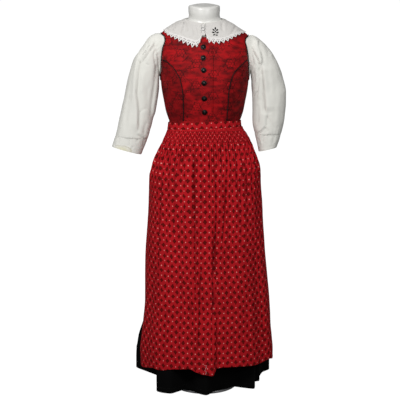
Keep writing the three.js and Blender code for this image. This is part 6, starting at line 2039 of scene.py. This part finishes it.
# ------------------------------------------------------------------ smocked band
NCs, NRs = 372, 34
us = np.arange(NCs + 1) / NCs
er, el = [float(table_at(APRON_EDGE, 960.0)[k]) for k in (1, 2)]
dS = lerp(er, el, us)
ts = np.linspace(0, 1, NRs + 1)[:, None]
top_s = waist_z(dS) - BAND_H - SEAM
Zs = lerp(SMOCK_LOW_Z, top_s[None], ts)
Ds = np.broadcast_to(dS[None], Zs.shape)
Ps = ring_point(Ds, apron_radius(Ds, Zs) + 0.8, Zs)
Ns = normals_of(Ps)
arc = np.concatenate([[0], np.cumsum(np.linalg.norm(np.diff(Ps[0], axis=0), axis=1))])
ARC_SMOCK = arc[-1]
CELL_W, CELL_H = 8.7, 9.5
zc = (Zs - SMOCK_LOW_Z - 1.0) / CELL_H
X = np.broadcast_to(arc[None], Zs.shape) / (CELL_W / 2) + 0.25 * noise1(np.broadcast_to(arc[None], Zs.shape), 23, 141)
kk = np.floor(X)
hgt = np.full(Zs.shape, -9.0)
inside = smooth(0.0, 0.12, zc) * smooth(4.2, 4.05, zc)
for dk in (-1, 0, 1, 2):
    n_ = kk + dk
    sgn = np.where(n_ % 2 == 0, 1.0, -1.0)
    centre = n_ + 0.34 * sgn * np.cos(math.pi * zc) * inside
    hgt = np.maximum(hgt, 1 - ((X - centre) / 0.62) ** 2)
ridge = clamp(hgt, 0, 1) ** 0.7
ease = 0.80 + 0.20 * noise(Ps, (9, 9, 7), 143)
relS = 4.3 * ridge * ease - 1.6
relS = relS + 0.5 * noise(Ps, (30, 30, 14), 145)
edge_top = smooth(0.0, 2.2, top_s[None] - Zs)
edge_low = smooth(-0.5, 2.5, Zs - SMOCK_LOW_Z)
relS = relS * (0.35 + 0.65 * edge_top) * (0.55 + 0.45 * edge_low)
out = Ps + Ns * relS[..., None]
inn = Ps - Ns * (1.6 + 0 * relS[..., None])
uv = np.stack(np.broadcast_arrays((us * FLAT_W - FLAT_W / 2)[None] * 1.19, (Zs - SMOCK_LOW_Z) * 1.75), -1)
piece(grid_sheet("apron_smocking", out, inn, uv, [M_PRINT_SMOCK, M_PRINT_IN], sharp=70), "apron_print", "apron_smocking")
# a soft seam roll between the band and the gathers
sq = ring_point(dS, apron_radius(dS, top_s) - 0.4, top_s + 0.4)
sn = unit(sq * np.array([1, 1, 0]))
v, f, w = tube_along(sq[::2], sn[::2], 1.7, False, 8)
bag = Gather(); bag.add(v, f, w)
piece(bag.make("apron_seam_roll", M_PRINT_SMOCK), "apron_print")
# the catching stitches where ridges meet
bag = Gather()
No = normals_of(out)
for j in range(5):
    zrow = SMOCK_LOW_Z + 1.0 + CELL_H * j
    for n_ in range(int(ARC_SMOCK / (CELL_W / 2)) - 1):
        if (n_ + j) % 2:
            continue
        c = int(round((n_ + 0.5) * (CELL_W / 2) / ARC_SMOCK * NCs))
        r0 = int(round((zrow - SMOCK_LOW_Z) / float(top_s[c] - SMOCK_LOW_Z) * NRs))
        if not (0 <= r0 <= NRs and 2 < c < NCs - 2):
            continue
        a, b = out[r0, c - 2], out[r0, c + 2]
        lift = 0.35
        P3 = np.array([a - No[r0, c] * 0.2, a + No[r0, c] * lift, b + No[r0, c] * lift, b - No[r0, c] * 0.2])
        v, f, w = tube_along(P3, np.repeat(No[r0, c][None], 4, 0), 0.3, False, 4)
        bag.add(v, f, w)
piece(bag.make("smocking_stitches", M_THREAD_R), "apron_print")

# ------------------------------------------------------------------ waistband, ties, knot and tails
def band(name, d0, d1, cols, lo, hi, off_in, off_out, flip, seed, fold=None, run0=None):
    uu_ = np.arange(cols + 1) / cols
    dg = lerp(d0, d1, uu_)
    rows = np.array([0, 0.02, 0.05, 0.09, 0.13, 0.18, 0.25, 0.33, 0.42, 0.5, 0.58, 0.67, 0.75, 0.82, 0.87, 0.91, 0.95, 0.98, 1.0])[:, None]
    zl, zu = lo(dg)[None], hi(dg)[None]
    Zb = lerp(zl, zu, rows)
    Db = np.broadcast_to(dg[None], Zb.shape)
    lev = level_at_height(Db, Zb)
    P_ = on_figure(Db, lev, off_out)
    a = np.minimum(Zb - zl, zu - Zb)
    rel = 0.35 * noise(P_, (34, 34, 9), seed) + 0.2 * noise(P_, (12, 12, 6), seed + 1) - 0.4 * np.exp(-(a / 0.8) ** 2) - 0.3 * np.exp(-((a - 3.0) / 0.8) ** 2)
    if fold is not None:
        rel = rel + fold(Db, (Zb - zl) / (zu - zl))
    o = on_figure(Db, lev, off_out + rel)
    i = on_figure(Db, lev, off_in + np.minimum(rel, 0.3) * 0.5)
    mid_row = P_[9]
    arc_ = np.concatenate([[0], np.cumsum(np.linalg.norm(np.diff(mid_row, axis=0), axis=1))]) * np.sign(d1 - d0)
    arc_ = arc_ + (run0 if run0 is not None else -np.interp(0.0, np.sort(dg), arc_))
    uv_ = np.stack(np.broadcast_arrays(arc_[None] * 1.055 + 20.2, Zb - zl - 12.9), -1)
    piece(grid_sheet(name, o, i, uv_, [M_PRINT, M_PRINT_IN], flip=flip), "apron_print", name)
    return o, normals_of(o) * (-1 if flip else 1)


# the waistband's own cut of the print: one row of dots, one of figures
lowb, highb = (lambda d: waist_z(d) - BAND_H), (lambda d: waist_z(d))
wb, wbn = band("apron_waistband", -112, 112, 260, lowb, highb, BAND_IN, BAND_OUT, False, 151,
               fold=lambda d, t: 0.45 * np.exp(-((d + 14 - 26 * t) / 3.0) ** 2) * 0.8 - 0.35 * np.exp(-((d - 21 + 20 * t) / 2.5) ** 2))
t_lo, t_hi = (lambda d: waist_z(d) - BAND_H + 1), (lambda d: waist_z(d) - 1.5)


def tie_fold(d, t):
    """A tie is drawn together towards its knot: folds run along it."""
    k = smooth(125, 170, np.abs(d))
    return k * (0.9 * np.sin(t * 17 + d * 0.05) * 0.8 + 0.6 * np.sin(t * 29 + d * 0.11))


tr, trn = band("apron_tie_r", -112.15, -174, 90, t_lo, t_hi, BAND_IN + 0.3, BAND_OUT - 0.3, True, 155, tie_fold, -240.0)
tl, tln = band("apron_tie_l", 112.15, 174, 90, t_lo, t_hi, BAND_IN + 0.3, BAND_OUT - 0.3, False, 157, tie_fold, 240.0)
bag = Gather()
for o_, n_ in ((wb, wbn), (tr, trn), (tl, tln)):
    for r0 in (4, 14):
        stitches(bag, o_[r0], n_[r0], 2.8, 1.2, 0.22)
piece(bag.make("band_stitching", M_THREAD_R), "apron_print")

# knot: a wrapped turn of the tie with folds across it
y0 = 90 + BAND_OUT + 1.5
kw = np.arange(72) / 72 * 2 * math.pi
rings = []
for q in np.linspace(0, 1, 33):
    w_, h_, dy = [np.interp(q, [0, 0.2, 0.5, 0.8, 1.0], col) for col in ([7.2, 11, 12, 10, 6], [12, 16, 17, 14.5, 9], [0, 3, 8, 13, 16])]
    pucker = 1 + 0.055 * np.sin(7 * kw + 3 * q) + 0.035 * np.sin(13 * kw - 4 * q)
    edge_k = 1 - 0.25 * smooth(0.9, 1.0, q) - 0.12 * smooth(0.1, 0.0, q)
    rings.append(np.stack([w_ * edge_k * pucker * np.cos(kw), np.full(kw.shape, y0 + dy) + 0.8 * np.sin(3 * kw + 1) * q, 999 - h_ * edge_k * pucker * np.sin(kw)], -1))
for sc, dy in ((0.6, 16.6), (0.3, 17.1)):
    q = rings[32].copy(); c = q.mean(0); q = c + (q - c) * sc; q[:, 1] = y0 + dy + 0.3 * np.sin(2 * kw); rings.append(q)
rings = np.array(rings)
knot = ring_stack("apron_knot", rings, M_PRINT, sharp=70)
piece(knot, "apron_print", "apron_knot")

for tag, s in (("r", -1), ("l", 1)):
    tr_ = np.linspace(0, 1, 120)[:, None]
    tc = np.linspace(0, 1, 25)[None]
    Zt = lerp(570, 980, tr_) + 0 * tc
    Zt = Zt + 9.0 * (tc - 0.5) * s * (1 - smooth(0, 0.12, tr_)) * 1.0     # the end is cut a little on the slant
    dg = 180 - s * lerp(lerp(11.5, 3.0, tr_), lerp(1.8, 0.8, tr_), tc)
    rr = skirt_radius(dg, Zt) + 3.5 + 2.5 * np.sin(tr_ * 3.1) + 3 * smooth(0.84, 0.94, tr_)
    Pt = ring_point(dg, rr, Zt)
    f_ = 1.3 * np.sin(tc * 9.0 + 1.2 * s + 2 * tr_) * smooth(0.0, 0.7, tr_) + 1.1 * np.exp(-((tc - 0.45 - 0.1 * tr_) / 0.12) ** 2) * (1 - 0.3 * tr_)
    f_ = f_ + 0.5 * noise(Pt, (12, 12, 50), 161 + s) - 0.4 * np.exp(-(np.minimum(tc, 1 - tc) / 0.05) ** 2) + 0.9
    o = ring_point(dg, rr + 1.4 + f_, Zt)
    i = ring_point(dg, rr + 0.1 + f_ * 0.9, Zt)
    w_t = 26.0
    uv = np.stack([np.broadcast_to(tc * w_t, Zt.shape), Zt], -1)
    piece(grid_sheet("apron_tail_" + tag, o, i, uv, [M_PRINT, M_PRINT_IN], flip=s < 0), "apron_print", "apron_tail_" + tag)


# ------------------------------------------------------------------ floor, light and backdrop
floor_mat = Mat("floor_pale", Specular_IOR_Level=0.2)
fn = floor_mat.noise(3.0, 2.0)
floor_mat.color(floor_mat.mix(fn, srgb(95, 95, 95), srgb(100, 100, 100)))
floor_mat.b.inputs["Emission Color"].default_value = (1, 1, 1, 1)
flp = floor_mat.t.nodes.new("ShaderNodeLightPath")
fem = floor_mat.t.nodes.new("ShaderNodeMath")
fem.operation = "MULTIPLY_ADD"
fem.inputs[1].default_value, fem.inputs[2].default_value = 0.97, 0.05
floor_mat.t.links.new(flp.outputs["Is Camera Ray"], fem.inputs[0])
floor_mat.t.links.new(fem.outputs[0], floor_mat.b.inputs["Emission Strength"])
floor_mat.rough(floor_mat.tone(fn, 0.85, 0.95))
fv = [(-9000, -6000, 0), (9000, -6000, 0), (9000, 30000, 0), (-9000, 30000, 0)]
floor = make_object("floor", np.array(fv, float) - np.array([0, 0, 0.3]), [(0, 1, 2, 3)], floor_mat.m, False, [(0, 0), (18, 0), (18, 36), (0, 36)])

world = bpy.data.worlds.new("world")
bpy.context.scene.world = world
world.use_nodes = True
wt = world.node_tree
bg = wt.nodes["Background"]
lp = wt.nodes.new("ShaderNodeLightPath")
wm = wt.nodes.new("ShaderNodeMath")
wm.operation = "MULTIPLY_ADD"
wt.links.new(lp.outputs["Is Camera Ray"], wm.inputs[0])
wm.inputs[1].default_value, wm.inputs[2].default_value = 0.76, 0.265
bg.inputs["Color"].default_value = (1, 1, 1, 1)
wt.links.new(wm.outputs[0], bg.inputs["Strength"])


def area_light(name, loc, aim, size, watts):
    ld = bpy.data.lights.new(name, "AREA")
    ld.shape, ld.size, ld.energy = "DISK", size, watts
    ob = bpy.data.objects.new(name, ld)
    ob.location = loc
    ob.rotation_euler = (Vector(aim) - Vector(loc)).to_track_quat("-Z", "Y").to_euler()
    bpy.context.scene.collection.objects.link(ob)
    return ob


area_light("key", (-1.0, -2.1, 2.45), (0, 0, 1.4), 0.8, 48)
area_light("fill", (1.0, -2.4, 2.0), (0, 0, 1.4), 1.0, 19)
bpy.context.scene.view_settings.view_transform = "Standard"
bpy.context.scene.view_settings.look = "None"
